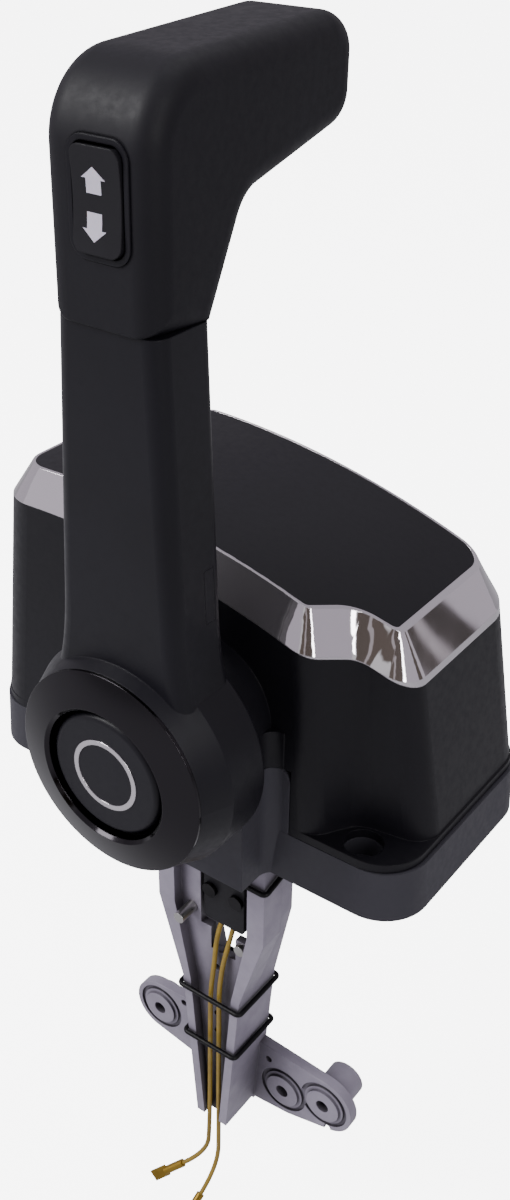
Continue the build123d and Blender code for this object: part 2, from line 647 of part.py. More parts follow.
def make_harness_pins():
    left, right = harness_pin_points()
    long_pin = disc_y(HARNESS_PIN_R, left[0], left[1], FRAME_FRONT_Y - HARNESS_PIN_OUT, left[2])
    short_pin = disc_y(HARNESS_PIN_R, right[0], right[1], FACE_WEB_Y - HARNESS_PIN_OUT / 2, right[2])
    return Compound(children=[long_pin, short_pin])


# ---------------------------------------------------------------- gears and arms
def involute(angle):
    return math.tan(angle) - angle


def tooth_points(teeth, centre):
    """One tooth about the direction centre, from root to root, as (x, y) about the gear's centre."""
    pitch_r = GEAR_MODULE * teeth / 2
    base_r = pitch_r * math.cos(math.radians(PRESSURE_ANGLE))
    root_r = pitch_r - 1.25 * GEAR_MODULE
    tip_r = pitch_r + GEAR_MODULE
    half = math.pi / (2 * teeth) - BACKLASH / (4 * pitch_r) + involute(math.radians(PRESSURE_ANGLE))
    start_r = max(base_r, root_r)
    flank = [(root_r, half - involute(math.acos(base_r / start_r)))]
    for step in range(FLANK_STEPS + 1):
        r = start_r + (tip_r - start_r) * step / FLANK_STEPS
        flank.append((r, half - involute(math.acos(base_r / r))))
    if root_r >= base_r:
        flank = flank[1:]
    polar = [(r, centre + a) for r, a in flank]
    mirror = [(r, centre - a) for r, a in flank]
    return [(r * math.cos(a), r * math.sin(a)) for r, a in mirror + polar[::-1]]


def gear_outline(teeth, first, count):
    """Teeth from the direction first (degrees), joined along the root circle."""
    points = []
    for i in range(count):
        points += tooth_points(teeth, math.radians(first + i * 360 / teeth))
    return points


def make_drive_gear():
    first = -90 + 180 / DRIVE_TEETH
    outline = make_face(Polyline(*gear_outline(DRIVE_TEETH, first, DRIVE_TEETH), close=True))
    gear = Pos(AXIS_X, AXIS_Z) * (outline - Circle(SHAFT_REAR_R + FACE_GAP))
    return along_y(gear, SHAFT_STEP_Y + PART_GAP, THROTTLE_ARM_Y + ARM_THICK + PART_GAP)


def arm_sketch(direction, length):
    """A gear sector at the top and an arm to one side of the pivot, drawn about the pivot."""
    pitch_r = GEAR_MODULE * SECTOR_TEETH / 2
    pitch_angle = 360 / SECTOR_TEETH
    first = 90 - pitch_angle * (SECTOR_SPAN - 1) / 2
    teeth = gear_outline(SECTOR_TEETH, first, SECTOR_SPAN)
    sector = make_face(Polyline((0, 0), *teeth, close=True))
    rim_r = pitch_r - SECTOR_RIM
    spread = pitch_angle * (SECTOR_SPAN - 1) / 2
    for side in (-1, 1):
        centre = 90 + side * spread / 2
        hole = Pos(*polar_point((rim_r + ARM_HUB_R) / 2, centre)) * Circle((rim_r - ARM_HUB_R) / 2)
        sector -= hole
    end = Pos(direction * length, 0) * Circle(ARM_END_R)
    arm = make_hull(end.edges() + Circle(ARM_HUB_R).edges())
    return sector + arm - Pos(direction * length, 0) * Circle(CABLE_SHANK_R)


def polar_point(radius, angle):
    return radius * math.cos(math.radians(angle)), radius * math.sin(math.radians(angle))


def make_shift_arm():
    plate = along_y(Pos(AXIS_X, PIVOT_Z) * arm_sketch(-1, SHIFT_ARM_LENGTH), SHIFT_ARM_Y,
                    SHIFT_ARM_Y + ARM_THICK)
    sleeve = disc_y(SLEEVE_R, AXIS_X, PIVOT_Z, CAM_FRONT_Y, SHIFT_ARM_Y + ARM_THICK)
    bore = disc_y(PIVOT_R + RUNNING_FIT, AXIS_X, PIVOT_Z, CAM_FRONT_Y - 1, REAR_PLATE_Y)
    return plate + sleeve - bore


def make_throttle_arm():
    plate = along_y(Pos(AXIS_X, PIVOT_Z) * arm_sketch(1, THROTTLE_ARM_LENGTH), THROTTLE_ARM_Y,
                    THROTTLE_ARM_Y + ARM_THICK)
    sleeve = disc_y(ARM_HUB_R - 2, AXIS_X, PIVOT_Z, SHIFT_ARM_Y + ARM_THICK + PART_GAP,
                    REAR_PLATE_Y - PART_GAP)
    bore = disc_y(PIVOT_R + RUNNING_FIT, AXIS_X, PIVOT_Z, SHIFT_ARM_Y, REAR_PLATE_Y)
    return plate + sleeve - bore


def cable_pin(direction, length, y_front):
    """Shouldered pin riveted into an arm's end, with a clip groove near its free end."""
    x = AXIS_X + direction * length
    shoulder_y = y_front + ARM_THICK
    y_back = shoulder_y + CABLE_PIN_OUT
    pin = disc_y(CABLE_SHANK_R, x, PIVOT_Z, y_front, shoulder_y)
    pin += disc_y(CABLE_PIN_R, x, PIVOT_Z, shoulder_y, y_back)
    groove = tube_y(CABLE_PIN_R + 1, CABLE_PIN_R - 0.6, x, PIVOT_Z, y_back - 2.2, y_back - 1.2)
    return pin - groove


def make_neutral_cam():
    ring = Circle(CAM_R) + Pos(0, -CAM_R) * Circle(CAM_LOBE)
    return along_y(Pos(AXIS_X, PIVOT_Z) * (ring - Circle(SLEEVE_R)), CAM_FRONT_Y, CAM_FRONT_Y + CAM_WIDTH)


def make_rear_plate():
    ends = [Pos(x, z) * Circle(PILLAR_R + 2) for x, z in pillar_points()]
    boss = Pos(AXIS_X, AXIS_Z) * Circle(BUSH_R + 2)
    plate = make_hull(boss.edges() + ends[0].edges() + ends[1].edges())
    plate += make_hull(boss.edges() + ends[2].edges() + ends[3].edges())
    plate -= Pos(AXIS_X, AXIS_Z) * Circle(END_BUSH_R + FACE_GAP)
    plate -= Pos(AXIS_X, PIVOT_Z) * Circle(PIVOT_R)
    for x, z in pillar_points():
        plate -= Pos(x, z) * Circle(PLATE_SCREW_R)
    return along_y(plate, REAR_PLATE_Y, REAR_PLATE_Y + REAR_PLATE)


def make_plate_pillars():
    return Compound(children=[
        tube_y(PILLAR_R, PLATE_SCREW_R, x, z, WEB_BACK_Y, REAR_PLATE_Y) for x, z in pillar_points()])


def make_plate_screws():
    screws = []
    for x, z in pillar_points():
        head_y = REAR_PLATE_Y + REAR_PLATE
        screw = disc_y(PLATE_SCREW_R, x, z, WEB_FRONT_Y, head_y)
        screws.append(screw + disc_y(2 * PLATE_SCREW_R, x, z, head_y, head_y + 1.6 * PLATE_SCREW_R))
    return Compound(children=screws)


def make_pivot_pin():
    pin = disc_y(PIVOT_R, AXIS_X, PIVOT_Z, CAM_FRONT_Y - PART_GAP, REAR_PLATE_Y + REAR_PLATE)
    head = disc_y(PIVOT_R + 2, AXIS_X, PIVOT_Z, CAM_FRONT_Y - PART_GAP - 1.6, CAM_FRONT_Y - PART_GAP)
    return pin + head


# ---------------------------------------------------------------- shaft line
def make_main_shaft():
    shaft = disc_y(SHAFT_R, AXIS_X, AXIS_Z, SHAFT_FRONT_Y, SHAFT_STEP_Y)
    shaft += disc_y(SHAFT_REAR_R, AXIS_X, AXIS_Z, SHAFT_STEP_Y, SHAFT_BACK_Y)
    shaft -= disc_y(ROD_R + RUNNING_FIT, AXIS_X, AXIS_Z, SHAFT_FRONT_Y - 1, ROD_BACK_Y + BUTTON_TRAVEL + 1)
    flat_z = AXIS_Z - SHAFT_R + SHAFT_FLAT
    shaft -= slab(AXIS_X - SHAFT_R, AXIS_X + SHAFT_R, SHAFT_FRONT_Y, HUB_BACK_Y, AXIS_Z - 2 * SHAFT_R, flat_z)
    front = tube_y(2 * SHAFT_R, SHAFT_R - CLIP_GROOVE, AXIS_X, AXIS_Z, HUB_FLOOR_Y - CLIP_WIDTH - FACE_GAP,
                   HUB_FLOOR_Y)
    clip_y = REAR_PLATE_Y + REAR_PLATE + PART_GAP
    rear = tube_y(2 * SHAFT_R, SHAFT_REAR_R - CLIP_GROOVE, AXIS_X, AXIS_Z, clip_y - FACE_GAP,
                  clip_y + CLIP_WIDTH - HIDDEN_GAP)
    return shaft - front - rear


def make_front_bush():
    barrel = tube_y(BUSH_R, SHAFT_R + RUNNING_FIT, AXIS_X, AXIS_Z, BEARING_FRONT_Y, WALL_INNER_Y)
    flange = tube_y(BUSH_R + BUSH_FLANGE, SHAFT_R + RUNNING_FIT, AXIS_X, AXIS_Z,
                    BEARING_FRONT_Y - BUSH_FLANGE, BEARING_FRONT_Y)
    return barrel + flange


def make_rear_bush():
    barrel = tube_y(BUSH_R, SHAFT_R + RUNNING_FIT, AXIS_X, AXIS_Z, WEB_FRONT_Y, WEB_BACK_Y)
    flange = tube_y(BUSH_R + BUSH_FLANGE, SHAFT_R + RUNNING_FIT, AXIS_X, AXIS_Z,
                    WEB_FRONT_Y - BUSH_FLANGE, WEB_FRONT_Y)
    return barrel + flange


def make_detent_wheel():
    wheel = Circle(DETENT_R) - Circle(SHAFT_R + FACE_GAP)
    for angle in (90 - DETENT_STEP, 90, 90 + DETENT_STEP):
        wheel -= Pos(*polar_point(DETENT_R + NOTCH_R / 2, angle)) * Circle(NOTCH_R)
    for angle in range(200, 341, 35):
        wheel -= Pos(*polar_point((DETENT_R + SHAFT_R) / 2, angle)) * Circle(2.5)
    return along_y(Pos(AXIS_X, AXIS_Z) * wheel, DETENT_FRONT_Y, DETENT_BACK_Y)


def make_detent_spring():
    """Leaf with a folded nose that drops into the wheel's neutral notch."""
    nose_z = AXIS_Z + DETENT_R + NOTCH_R / 2 - NOTCH_R + LEAF / 2 + PART_GAP
    flat_z = DETENT_SEAT_Z + LEAF / 2
    line = FilletPolyline(
        (LUG_X, flat_z),
        (AXIS_X - NOTCH_R - 1, flat_z),
        (AXIS_X, nose_z),
        (AXIS_X + NOTCH_R + 1, flat_z),
        (AXIS_X + NOTCH_R + 5, flat_z + 1),
        radius=LEAF_BEND_R)
    leaf = along_y(trace(line, line_width=LEAF), DETENT_FRONT_Y - 0.5, DETENT_BACK_Y + 0.5)
    return leaf - Pos(LUG_X + LUG_W / 2, DETENT_MID_Y, flat_z) * Cylinder(DETENT_SCREW_R, LUG_H)


def make_detent_screw():
    x = LUG_X + LUG_W / 2
    top = DETENT_SEAT_Z + LEAF
    shank = Pos(x, DETENT_MID_Y, top - LUG_H / 2) * Cylinder(DETENT_SCREW_R, LUG_H)
    head = Pos(x, DETENT_MID_Y, top + DETENT_SCREW_R / 2) * Cylinder(2 * DETENT_SCREW_R - 0.5, DETENT_SCREW_R)
    return shank + head


def make_friction_pad():
    x = AXIS_X - DETENT_R - PART_GAP
    return slab(x - PAD_THICK, x, DETENT_FRONT_Y, DETENT_BACK_Y, AXIS_Z - PAD_THICK, AXIS_Z + PAD_THICK)


def make_friction_screw():
    x = AXIS_X - DETENT_R - PART_GAP - PAD_THICK
    end = LUG_X - FRICTION_SCREW_R
    turn = Rot(0, 90, 0)
    shank = Pos((x + end) / 2, DETENT_MID_Y, AXIS_Z) * turn * Cylinder(FRICTION_SCREW_R, x - end)
    return shank + Pos(end - FRICTION_SCREW_R / 2, DETENT_MID_Y, AXIS_Z) * turn * Cylinder(
        2 * FRICTION_SCREW_R, FRICTION_SCREW_R)


def make_lever_clip():
    inner = SHAFT_R - CLIP_GROOVE + FACE_GAP
    ring = tube_y(SHAFT_R + CLIP_WALL, inner, AXIS_X, AXIS_Z, HUB_FLOOR_Y - CLIP_WIDTH, HUB_FLOOR_Y - FACE_GAP)
    return ring - slab(AXIS_X - SHAFT_R / 2, AXIS_X + SHAFT_R / 2, HUB_FLOOR_Y - 2 * CLIP_WIDTH,
                       HUB_FLOOR_Y + 1, AXIS_Z - 2 * SHAFT_R, AXIS_Z)


def make_shaft_clip():
    inner = SHAFT_REAR_R - CLIP_GROOVE + FACE_GAP
    clip_y = REAR_PLATE_Y + REAR_PLATE + PART_GAP
    ring = tube_y(SHAFT_REAR_R + CLIP_WALL, inner, AXIS_X, AXIS_Z, clip_y, clip_y + CLIP_WIDTH - PART_GAP)
    return ring - slab(AXIS_X - SHAFT_R / 2, AXIS_X + SHAFT_R / 2, clip_y - 1, clip_y + 2 * CLIP_WIDTH,
                       AXIS_Z - 2 * SHAFT_R, AXIS_Z)


def make_end_bush():
    barrel = tube_y(END_BUSH_R, SHAFT_REAR_R + RUNNING_FIT, AXIS_X, AXIS_Z, REAR_PLATE_Y,
                    REAR_PLATE_Y + REAR_PLATE)
    flange = tube_y(END_BUSH_R + BUSH_FLANGE, SHAFT_REAR_R + RUNNING_FIT, AXIS_X, AXIS_Z,
                    REAR_PLATE_Y - BUSH_FLANGE / 2, REAR_PLATE_Y)
    return barrel + flange


def make_frame_screws():
    screws = []
    for side in (-1, 1):
        x = AXIS_X + side * MOUNT_FOOT_X
        shank = Pos(x, FOOT_SCREW_Y, FLOOR) * Cylinder(FRAME_SCREW_R, 2 * FLOOR)
        head = Pos(x, FOOT_SCREW_Y, 2 * FLOOR + FRAME_SCREW_R / 2) * Cylinder(2 * FRAME_SCREW_R, FRAME_SCREW_R)
        screws.append(shank + head)
    return Compound(children=screws)


# ---------------------------------------------------------------- neutral switch
def switch_screw_x():
    return [SWITCH_X - SWITCH_SCREW_X, SWITCH_X + SWITCH_SCREW_X]


def make_neutral_switch():
    body = slab(SWITCH_X - SWITCH_HALF_W, SWITCH_X + SWITCH_HALF_W, FACE_WEB_Y, SWITCH_BACK_Y,
                SWITCH_BOTTOM_Z, SWITCH_TOP_Z)
    body = fillet(body.edges().filter_by(Axis.Y), SWITCH_EDGE_R)
    for x in switch_screw_x():
        body -= disc_y(PLATE_SCREW_R, x, SWITCH_SCREW_Z, FACE_WEB_Y - 1, SWITCH_BACK_Y + 1)
    return body - Pos(AXIS_X, PLUNGER_Y, SWITCH_TOP_Z) * Cylinder(
        PLUNGER_R + PART_GAP, 2 * (PLUNGER_DEPTH + PLUNGER_TRAVEL + 1))


def make_switch_screws():
    screws = []
    for x in switch_screw_x():
        shank = disc_y(PLATE_SCREW_R, x, SWITCH_SCREW_Z, FACE_WEB_Y, WEB_FRONT_Y + WEB / 2)
        head = disc_y(2 * PLATE_SCREW_R - 0.2, x, SWITCH_SCREW_Z, FACE_WEB_Y - PLATE_SCREW_R, FACE_WEB_Y)
        screws.append(shank + head)
    return Compound(children=screws)


def make_switch_plunger():
    top = CAM_BOTTOM_Z - PART_GAP
    length = top - (SWITCH_TOP_Z - PLUNGER_DEPTH)
    pin = Pos(AXIS_X, PLUNGER_Y, top - length / 2) * Cylinder(PLUNGER_R, length)
    return fillet(pin.faces().sort_by(Axis.Z)[-1].edges(), PLUNGER_R / 3)


# ---------------------------------------------------------------- lever
def arm_side(side):
    """One side of the arm's front outline as (spline, line), from the hub to the top."""
    foot = polar_point(HUB_RIM_R, ARM_FLARE_ANGLE)
    along = polar_point(1, ARM_FLARE_ANGLE - 90)
    taper = (ARM_LOW_HALF_W - ARM_TOP_HALF_W) / (ARM_TOP_Z - ARM_LOW_Z)
    low = (AXIS_X + side * ARM_LOW_HALF_W, ARM_LOW_Z)
    flare = Spline((AXIS_X - side * foot[0], AXIS_Z + foot[1]), low,
                   tangents=[(-side * along[0], along[1]), (-side * taper, 1)])
    straight = Line(low, (AXIS_X + side * ARM_TOP_HALF_W, ARM_TOP_Z))
    return flare, straight


def make_arm_blade():
    left_flare, left = arm_side(-1)
    right_flare, right = arm_side(1)
    outline = make_face([left_flare, left, Line(left @ 1, right @ 1), right, right_flare,
                         Line(right_flare @ 0, left_flare @ 0)])
    blade = along_y(outline, ARM_FRONT_Y, ARM_BACK_Y)
    long_edges = [e for e in blade.edges() if (e.center().Z > AXIS_Z + HUB_R / 2) and e.length > HUB_R / 2
                  and abs(e.tangent_at(0.5).Z) > 0.5]
    front = [e for e in long_edges if abs(e.center().Y - ARM_FRONT_Y) < 0.01]
    blade = fillet(front, ARM_FRONT_EDGE_R)
    back = [e for e in blade.edges() if abs(e.center().Y - ARM_BACK_Y) < 0.01
            and e.center().Z > AXIS_Z + HUB_R / 2 and abs(e.tangent_at(0.5).Z) > 0.5]
    return fillet(back, ARM_BACK_EDGE_R)


def tenon(clearance):
    """Stem that carries the grip, in the middle of the arm's top."""
    half_w = ARM_TOP_HALF_W - TENON_INSET + clearance
    y0 = ARM_FRONT_Y + TENON_FRONT_INSET - clearance
    y1 = ARM_BACK_Y - TENON_INSET + clearance
    return slab(AXIS_X - half_w, AXIS_X + half_w, y0, y1, ARM_TOP_Z - TENON_INSET,
                ARM_TOP_Z + TENON_HEIGHT + clearance)


def wire_cover_block(clearance):
    x = AXIS_X + ARM_LOW_HALF_W
    return slab(x - WIRE_COVER_DEPTH - ARM_TOP_HALF_W / 10 - clearance, x + 1,
                WIRE_COVER_Y[0] - clearance, WIRE_COVER_Y[1] + clearance,
                WIRE_COVER_Z[0] - clearance, WIRE_COVER_Z[1] + clearance)


def hub_body():
    taper = HUB_TAPER_Y - HUB_FRONT_Y
    hub = disc_y(HUB_R, AXIS_X, AXIS_Z, HUB_TAPER_Y, HUB_BACK_Y)
    hub += Pos(AXIS_X, HUB_FRONT_Y + taper / 2, AXIS_Z) * Rot(90, 0, 0) * Cone(HUB_R, HUB_RIM_R, taper)
    back_rim = hub.edges().filter_by(GeomType.CIRCLE).sort_by(Axis.Y)[-1:]
    return fillet(back_rim, HUB_EDGE_R)


def make_lever_arm():
    lever = hub_body() + make_arm_blade() + tenon(0)
    lever -= disc_y(CAVITY_R, AXIS_X, AXIS_Z, HUB_FRONT_Y - 1, HUB_FLOOR_Y)
    flat_z = AXIS_Z - SHAFT_R + SHAFT_FLAT - FACE_GAP
    bore = disc_y(SHAFT_R + FACE_GAP, AXIS_X, AXIS_Z, HUB_FLOOR_Y - 1, HUB_BACK_Y + 1)
    bore -= slab(AXIS_X - 2 * SHAFT_R, AXIS_X + 2 * SHAFT_R, HUB_FLOOR_Y - 2, HUB_BACK_Y + 2,
                 AXIS_Z - 2 * SHAFT_R, flat_z)
    lever -= bore
    lever -= Pos(AXIS_X, SET_SCREW_Y, AXIS_Z - HUB_R / 2 - SHAFT_R / 2) * Cylinder(SET_SCREW_R, HUB_R)
    return lever - wire_cover_block(FACE_GAP)


def make_lever_set_screw():
    top = AXIS_Z - SHAFT_R + SHAFT_FLAT - FACE_GAP
    screw = Pos(AXIS_X, SET_SCREW_Y, top - SET_SCREW_LENGTH / 2) * Cylinder(SET_SCREW_R, SET_SCREW_LENGTH)
    socket = Pos(AXIS_X, SET_SCREW_Y, top - SET_SCREW_LENGTH) * extrude(
        RegularPolygon(SET_SCREW_R / 2, 6), amount=SET_SCREW_R)
    return screw - socket


def make_wire_cover():
    cover = wire_cover_block(0) & hub_and_blade_skin()
    return cover


def hub_and_blade_skin():
    """The arm's own form, used to trim the wire cover flush with its side."""
    return make_arm_blade()


def make_hub_bezel():
    """Bright ring closing the hub, crowned between its rim and its bore."""
    mid_r = (HUB_RIM_R + BEZEL_BORE_R) / 2
    mid_y = (HUB_FRONT_Y + RIM_Y) / 2 - BEZEL_CROWN
    crown = ThreePointArc((HUB_RIM_R, HUB_FRONT_Y - BEZEL_EDGE), (mid_r, mid_y), (BEZEL_BORE_R, RIM_Y))
    rest = Polyline((BEZEL_BORE_R, RIM_Y), (CAVITY_R, RIM_Y + BEZEL_EDGE), (CAVITY_R, HUB_FRONT_Y),
                    (HUB_RIM_R, HUB_FRONT_Y), (HUB_RIM_R, HUB_FRONT_Y - BEZEL_EDGE))
    ring = revolve(make_face([crown, rest]), axis=Axis.Y)
    return Pos(AXIS_X, 0, AXIS_Z) * ring


def make_throttle_only_button():
    button = disc_y(BUTTON_R, AXIS_X, AXIS_Z, BUTTON_FRONT_Y, BUTTON_BACK_Y)
    button = fillet(button.edges().filter_by(GeomType.CIRCLE).sort_by(Axis.Y)[:1], 2 * BEZEL_EDGE)
    button -= tube_y(INLAY_R, INLAY_R - INLAY_W, AXIS_X, AXIS_Z, BUTTON_FRONT_Y - 1,
                     BUTTON_FRONT_Y + INLAY_DEPTH)
    return button - disc_y(ROD_R, AXIS_X, AXIS_Z, BUTTON_BACK_Y - BUTTON_THICK / 2, BUTTON_BACK_Y + 1)


def make_button_inlay():
    return tube_y(INLAY_R, INLAY_R - INLAY_W, AXIS_X, AXIS_Z, BUTTON_FRONT_Y - INLAY_DEPTH / 3,
                  BUTTON_FRONT_Y + INLAY_DEPTH)


def make_button_spring():
    rise = HUB_FLOOR_Y - BUTTON_BACK_Y - 2 * SPRING_WIRE_R - 2 * FACE_GAP
    coil = Helix(pitch=rise / SPRING_TURNS, height=rise, radius=SPRING_R)
    section = Plane(origin=coil @ 0, z_dir=coil % 0) * Circle(SPRING_WIRE_R)
    spring = sweep(section, path=coil)
    return Pos(AXIS_X, HUB_FLOOR_Y - SPRING_WIRE_R - FACE_GAP, AXIS_Z) * Rot(90, 0, 0) * spring


def grip_profile():
    """Side view of the grip as (y, z): nose, top, end, underside and throat."""
    points = [
        (GRIP_FRONT_Y, ARM_TOP_Z),
        (GRIP_FRONT_Y, GRIP_TOP_Z),
        (GRIP_END_Y, GRIP_TOP_Z + GRIP_RISE),
        (GRIP_END_Y, GRIP_TOP_Z + GRIP_RISE - GRIP_THICK),
        (GRIP_THROAT[0], GRIP_THROAT[1]),
        (GRIP_BACK_Y, ARM_TOP_Z - GRIP_DROP),
    ]
    radii = [LEAST_R, GRIP_NOSE_R, GRIP_END_R, GRIP_END_R, GRIP_THROAT_R, LEAST_R]
    return make_face(FilletPolyline(*points, radius=radii, close=True))


def make_grip_cover():
    grip = extrude(Plane.YZ.offset(AXIS_X - GRIP_HALF_W) * grip_profile(), amount=2 * GRIP_HALF_W)
    sides = [e for e in grip.edges() if abs(abs(e.center().X - AXIS_X) - GRIP_HALF_W) < 0.01
             and e.center().Z > ARM_TOP_Z + 2]
    grip = fillet(sides, GRIP_EDGE_R)
    grip -= tenon(FACE_GAP)
    grip -= slab(AXIS_X - GRIP_HALF_W - 1, AXIS_X + GRIP_HALF_W + 1, GRIP_FRONT_Y - 1, GRIP_END_Y,
                 ARM_TOP_Z - 2 * GRIP_DROP, ARM_TOP_Z + FACE_GAP)
    return grip - rocker_block(ROCKER_FRAME + ROCKER_GAP + FACE_GAP, GRIP_FRONT_Y - 1,
                               GRIP_FRONT_Y + ROCKER_DEPTH + FACE_GAP)


def rocker_block(margin, y_from, y_to):
    sketch = RectangleRounded(2 * (ROCKER_HALF_W + margin), 2 * (ROCKER_HALF_H + margin),
                              ROCKER_CORNER_R + margin)
    return along_y(Pos(ROCKER_X, ROCKER_Z) * sketch, y_from, y_to)


def trunnion(radius, reach):
    """The rocker's pivot, along X, reaching beyond each of its sides."""
    pin = Rot(0, 90, 0) * Cylinder(radius, 2 * (ROCKER_HALF_W + reach))
    return Pos(ROCKER_X, ROCKER_PIVOT_Y, ROCKER_Z) * pin


def make_rocker_frame():
    back_y = GRIP_FRONT_Y + ROCKER_DEPTH
    frame = rocker_block(ROCKER_FRAME + ROCKER_GAP, GRIP_FRONT_Y - ROCKER_FRAME / 3, back_y)
    frame -= rocker_block(ROCKER_GAP, GRIP_FRONT_Y - 2, back_y - ROCKER_FRAME)
    return frame - trunnion(TRUNNION_R + RUNNING_FIT, ROCKER_GAP + ROCKER_FRAME)


def make_trim_rocker():
    front = GRIP_FRONT_Y - ROCKER_PROUD
    back = ROCKER_PIVOT_Y + ROCKER_FRAME
    half = ROCKER_HALF_H
    profile = make_face([
        ThreePointArc((front, ROCKER_Z - half), (front + ROCKER_DISH, ROCKER_Z), (front, ROCKER_Z + half)),
        Polyline((front, ROCKER_Z + half), (back - ROCKER_DISH, ROCKER_Z + half - 1), (back, ROCKER_Z),
                 (back - ROCKER_DISH, ROCKER_Z - half + 1), (front, ROCKER_Z - half)),
    ])
    body = extrude(Plane.YZ.offset(ROCKER_X - ROCKER_HALF_W) * profile, amount=2 * ROCKER_HALF_W)
    body &= rocker_block(0, front - 1, back + 1)
    return body + trunnion(TRUNNION_R, ROCKER_GAP + ROCKER_FRAME / 2)


# ---------------------------------------------------------------- ties and leads
def make_tie(half_w, z_front, z_back):
    """Closed tie round the channel in a plane tilted about X, with its lock head on the -X side."""
    y0 = FRAME_FRONT_Y - TIE_R - PART_GAP
    y1 = WEB_BACK_Y + TIE_R + PART_GAP
    tilt = math.atan2(z_back - z_front, y1 - y0)
    depth = (y1 - y0) / math.cos(tilt)
    plane = Plane(origin=(AXIS_X, (y0 + y1) / 2, (z_front + z_back) / 2), x_dir=(1, 0, 0),
                  z_dir=(0, -math.sin(tilt), math.cos(tilt)))
    loop = plane * RectangleRounded(2 * (half_w + TIE_R + PART_GAP), depth, TIE_CORNER_R)
    path = loop.face().outer_wire()
    start = Plane(origin=path @ 0, z_dir=path % 0)
    tie = sweep(start * Circle(TIE_R), path=path)
    x1 = AXIS_X - half_w - PART_GAP - TIE_R / 2
    y_mid, z_mid = (y0 + y1) / 2, (z_front + z_back) / 2
    head = slab(x1 - TIE_HEAD, x1, y_mid - TIE_HEAD / 2, y_mid + TIE_HEAD / 2, z_mid - TIE_HEAD / 2,
                z_mid + TIE_HEAD / 2)
    return tie + head


def lead_path(points, radii):
    return FilletPolyline(*points, radius=radii)


def make_lead(points, radii):
    path = lead_path(points, radii)
    tube = sweep(Plane(origin=path @ 0, z_dir=path % 0) * Circle(LEAD_R), path=path)
    print("lead", round(path.length, 1), "mm, radii", radii, "volume ratio",
          round(tube.volume / (path.length * math.pi * LEAD_R ** 2), 3))
    return tube


def make_terminal(points, radii):
    """Crimped blade terminal in line with the end of a lead."""
    path = lead_path(points, radii)
    plane = Plane(origin=path @ 1, z_dir=path % 1)
    barrel = extrude(plane * Circle(TERMINAL_R), amount=TERMINAL_LENGTH)
    blade = extrude(plane.offset(TERMINAL_LENGTH - 1) * Rectangle(BLADE_W, BLADE_THICK), amount=BLADE_LENGTH)
    return barrel + blade


def bend_radii(points):
    """Largest tangent radius at each corner that leaves a straight stretch between bends."""
    radii = []
    for before, here, after in zip(points, points[1:], points[2:]):
        a = Vector(*here) - Vector(*before)
        b = Vector(*after) - Vector(*here)
        turn = math.radians(a.get_angle(b))
        radii.append(round(0.45 * min(a.length, b.length) / math.tan(turn / 2), 2))
    return radii


LEAD_Y = FRAME_FRONT_Y + 1.5
LEAD_A = [
    (13.0, LEAD_Y + 4, SWITCH_BOTTOM_Z - PART_GAP), (12.0, LEAD_Y + 2.2, -49.0), (12.6, LEAD_Y, -60.0), (11.2, LEAD_Y - 0.5, -74.0),
    (10.6, LEAD_Y, -94.0), (10.0, LEAD_Y + 0.4, -120.0), (9.8, LEAD_Y, -148.0), (9.2, LEAD_Y - 0.6, -165.0),
    (1.0, LEAD_Y - 6, -172.5),
]
LEAD_B = [
    (18.0, LEAD_Y + 4, SWITCH_BOTTOM_Z - PART_GAP), (17.4, LEAD_Y + 2.2, -49.0), (16.2, LEAD_Y, -59.0), (15.0, LEAD_Y - 0.5, -72.0),
    (14.5, LEAD_Y, -92.0), (14.0, LEAD_Y + 0.4, -118.0), (14.2, LEAD_Y, -146.0), (14.4, LEAD_Y - 0.6, -169.0),
    (12.8, LEAD_Y - 10, -177.5),
]

# ---------------------------------------------------------------- all parts
parts["base_frame"] = make_base_frame()
parts["housing_cover"] = make_housing_cover()
parts["chrome_trim"] = make_chrome_trim()
parts["top_cover"] = make_top_cover()
parts["shaft_seal"] = make_shaft_seal()
parts["control_frame"] = make_control_frame()
parts["frame_screws"] = make_frame_screws()
parts["rear_plate"] = make_rear_plate()
parts["plate_pillars"] = make_plate_pillars()
parts["plate_screws"] = make_plate_screws()
parts["front_bush"] = make_front_bush()
parts["rear_bush"] = make_rear_bush()
parts["end_bush"] = make_end_bush()
parts["pivot_pin"] = make_pivot_pin()
parts["neutral_switch"] = make_neutral_switch()
parts["switch_screws"] = make_switch_screws()
parts["switch_plunger"] = make_switch_plunger()
parts["detent_spring"] = make_detent_spring()
parts["detent_screw"] = make_detent_screw()
parts["friction_pad"] = make_friction_pad()
parts["friction_screw"] = make_friction_screw()
parts["harness_pins"] = make_harness_pins()
parts["cable_tie_top"] = make_tie(EAR_HALF_W, TIE_TOP_Z[0], TIE_TOP_Z[1])
parts["cable_tie_mid"] = make_tie(channel_half_width(TIE_MID_Z), TIE_MID_Z, TIE_MID_Z)
parts["cable_tie_low"] = make_tie(channel_half_width(TIE_LOW_Z), TIE_LOW_Z, TIE_LOW_Z)
parts["lead_a"] = make_lead(LEAD_A, bend_radii(LEAD_A))
parts["lead_b"] = make_lead(LEAD_B, bend_radii(LEAD_B))
parts["lead_terminal_a"] = make_terminal(LEAD_A, bend_radii(LEAD_A))
parts["lead_terminal_b"] = make_terminal(LEAD_B, bend_radii(LEAD_B))

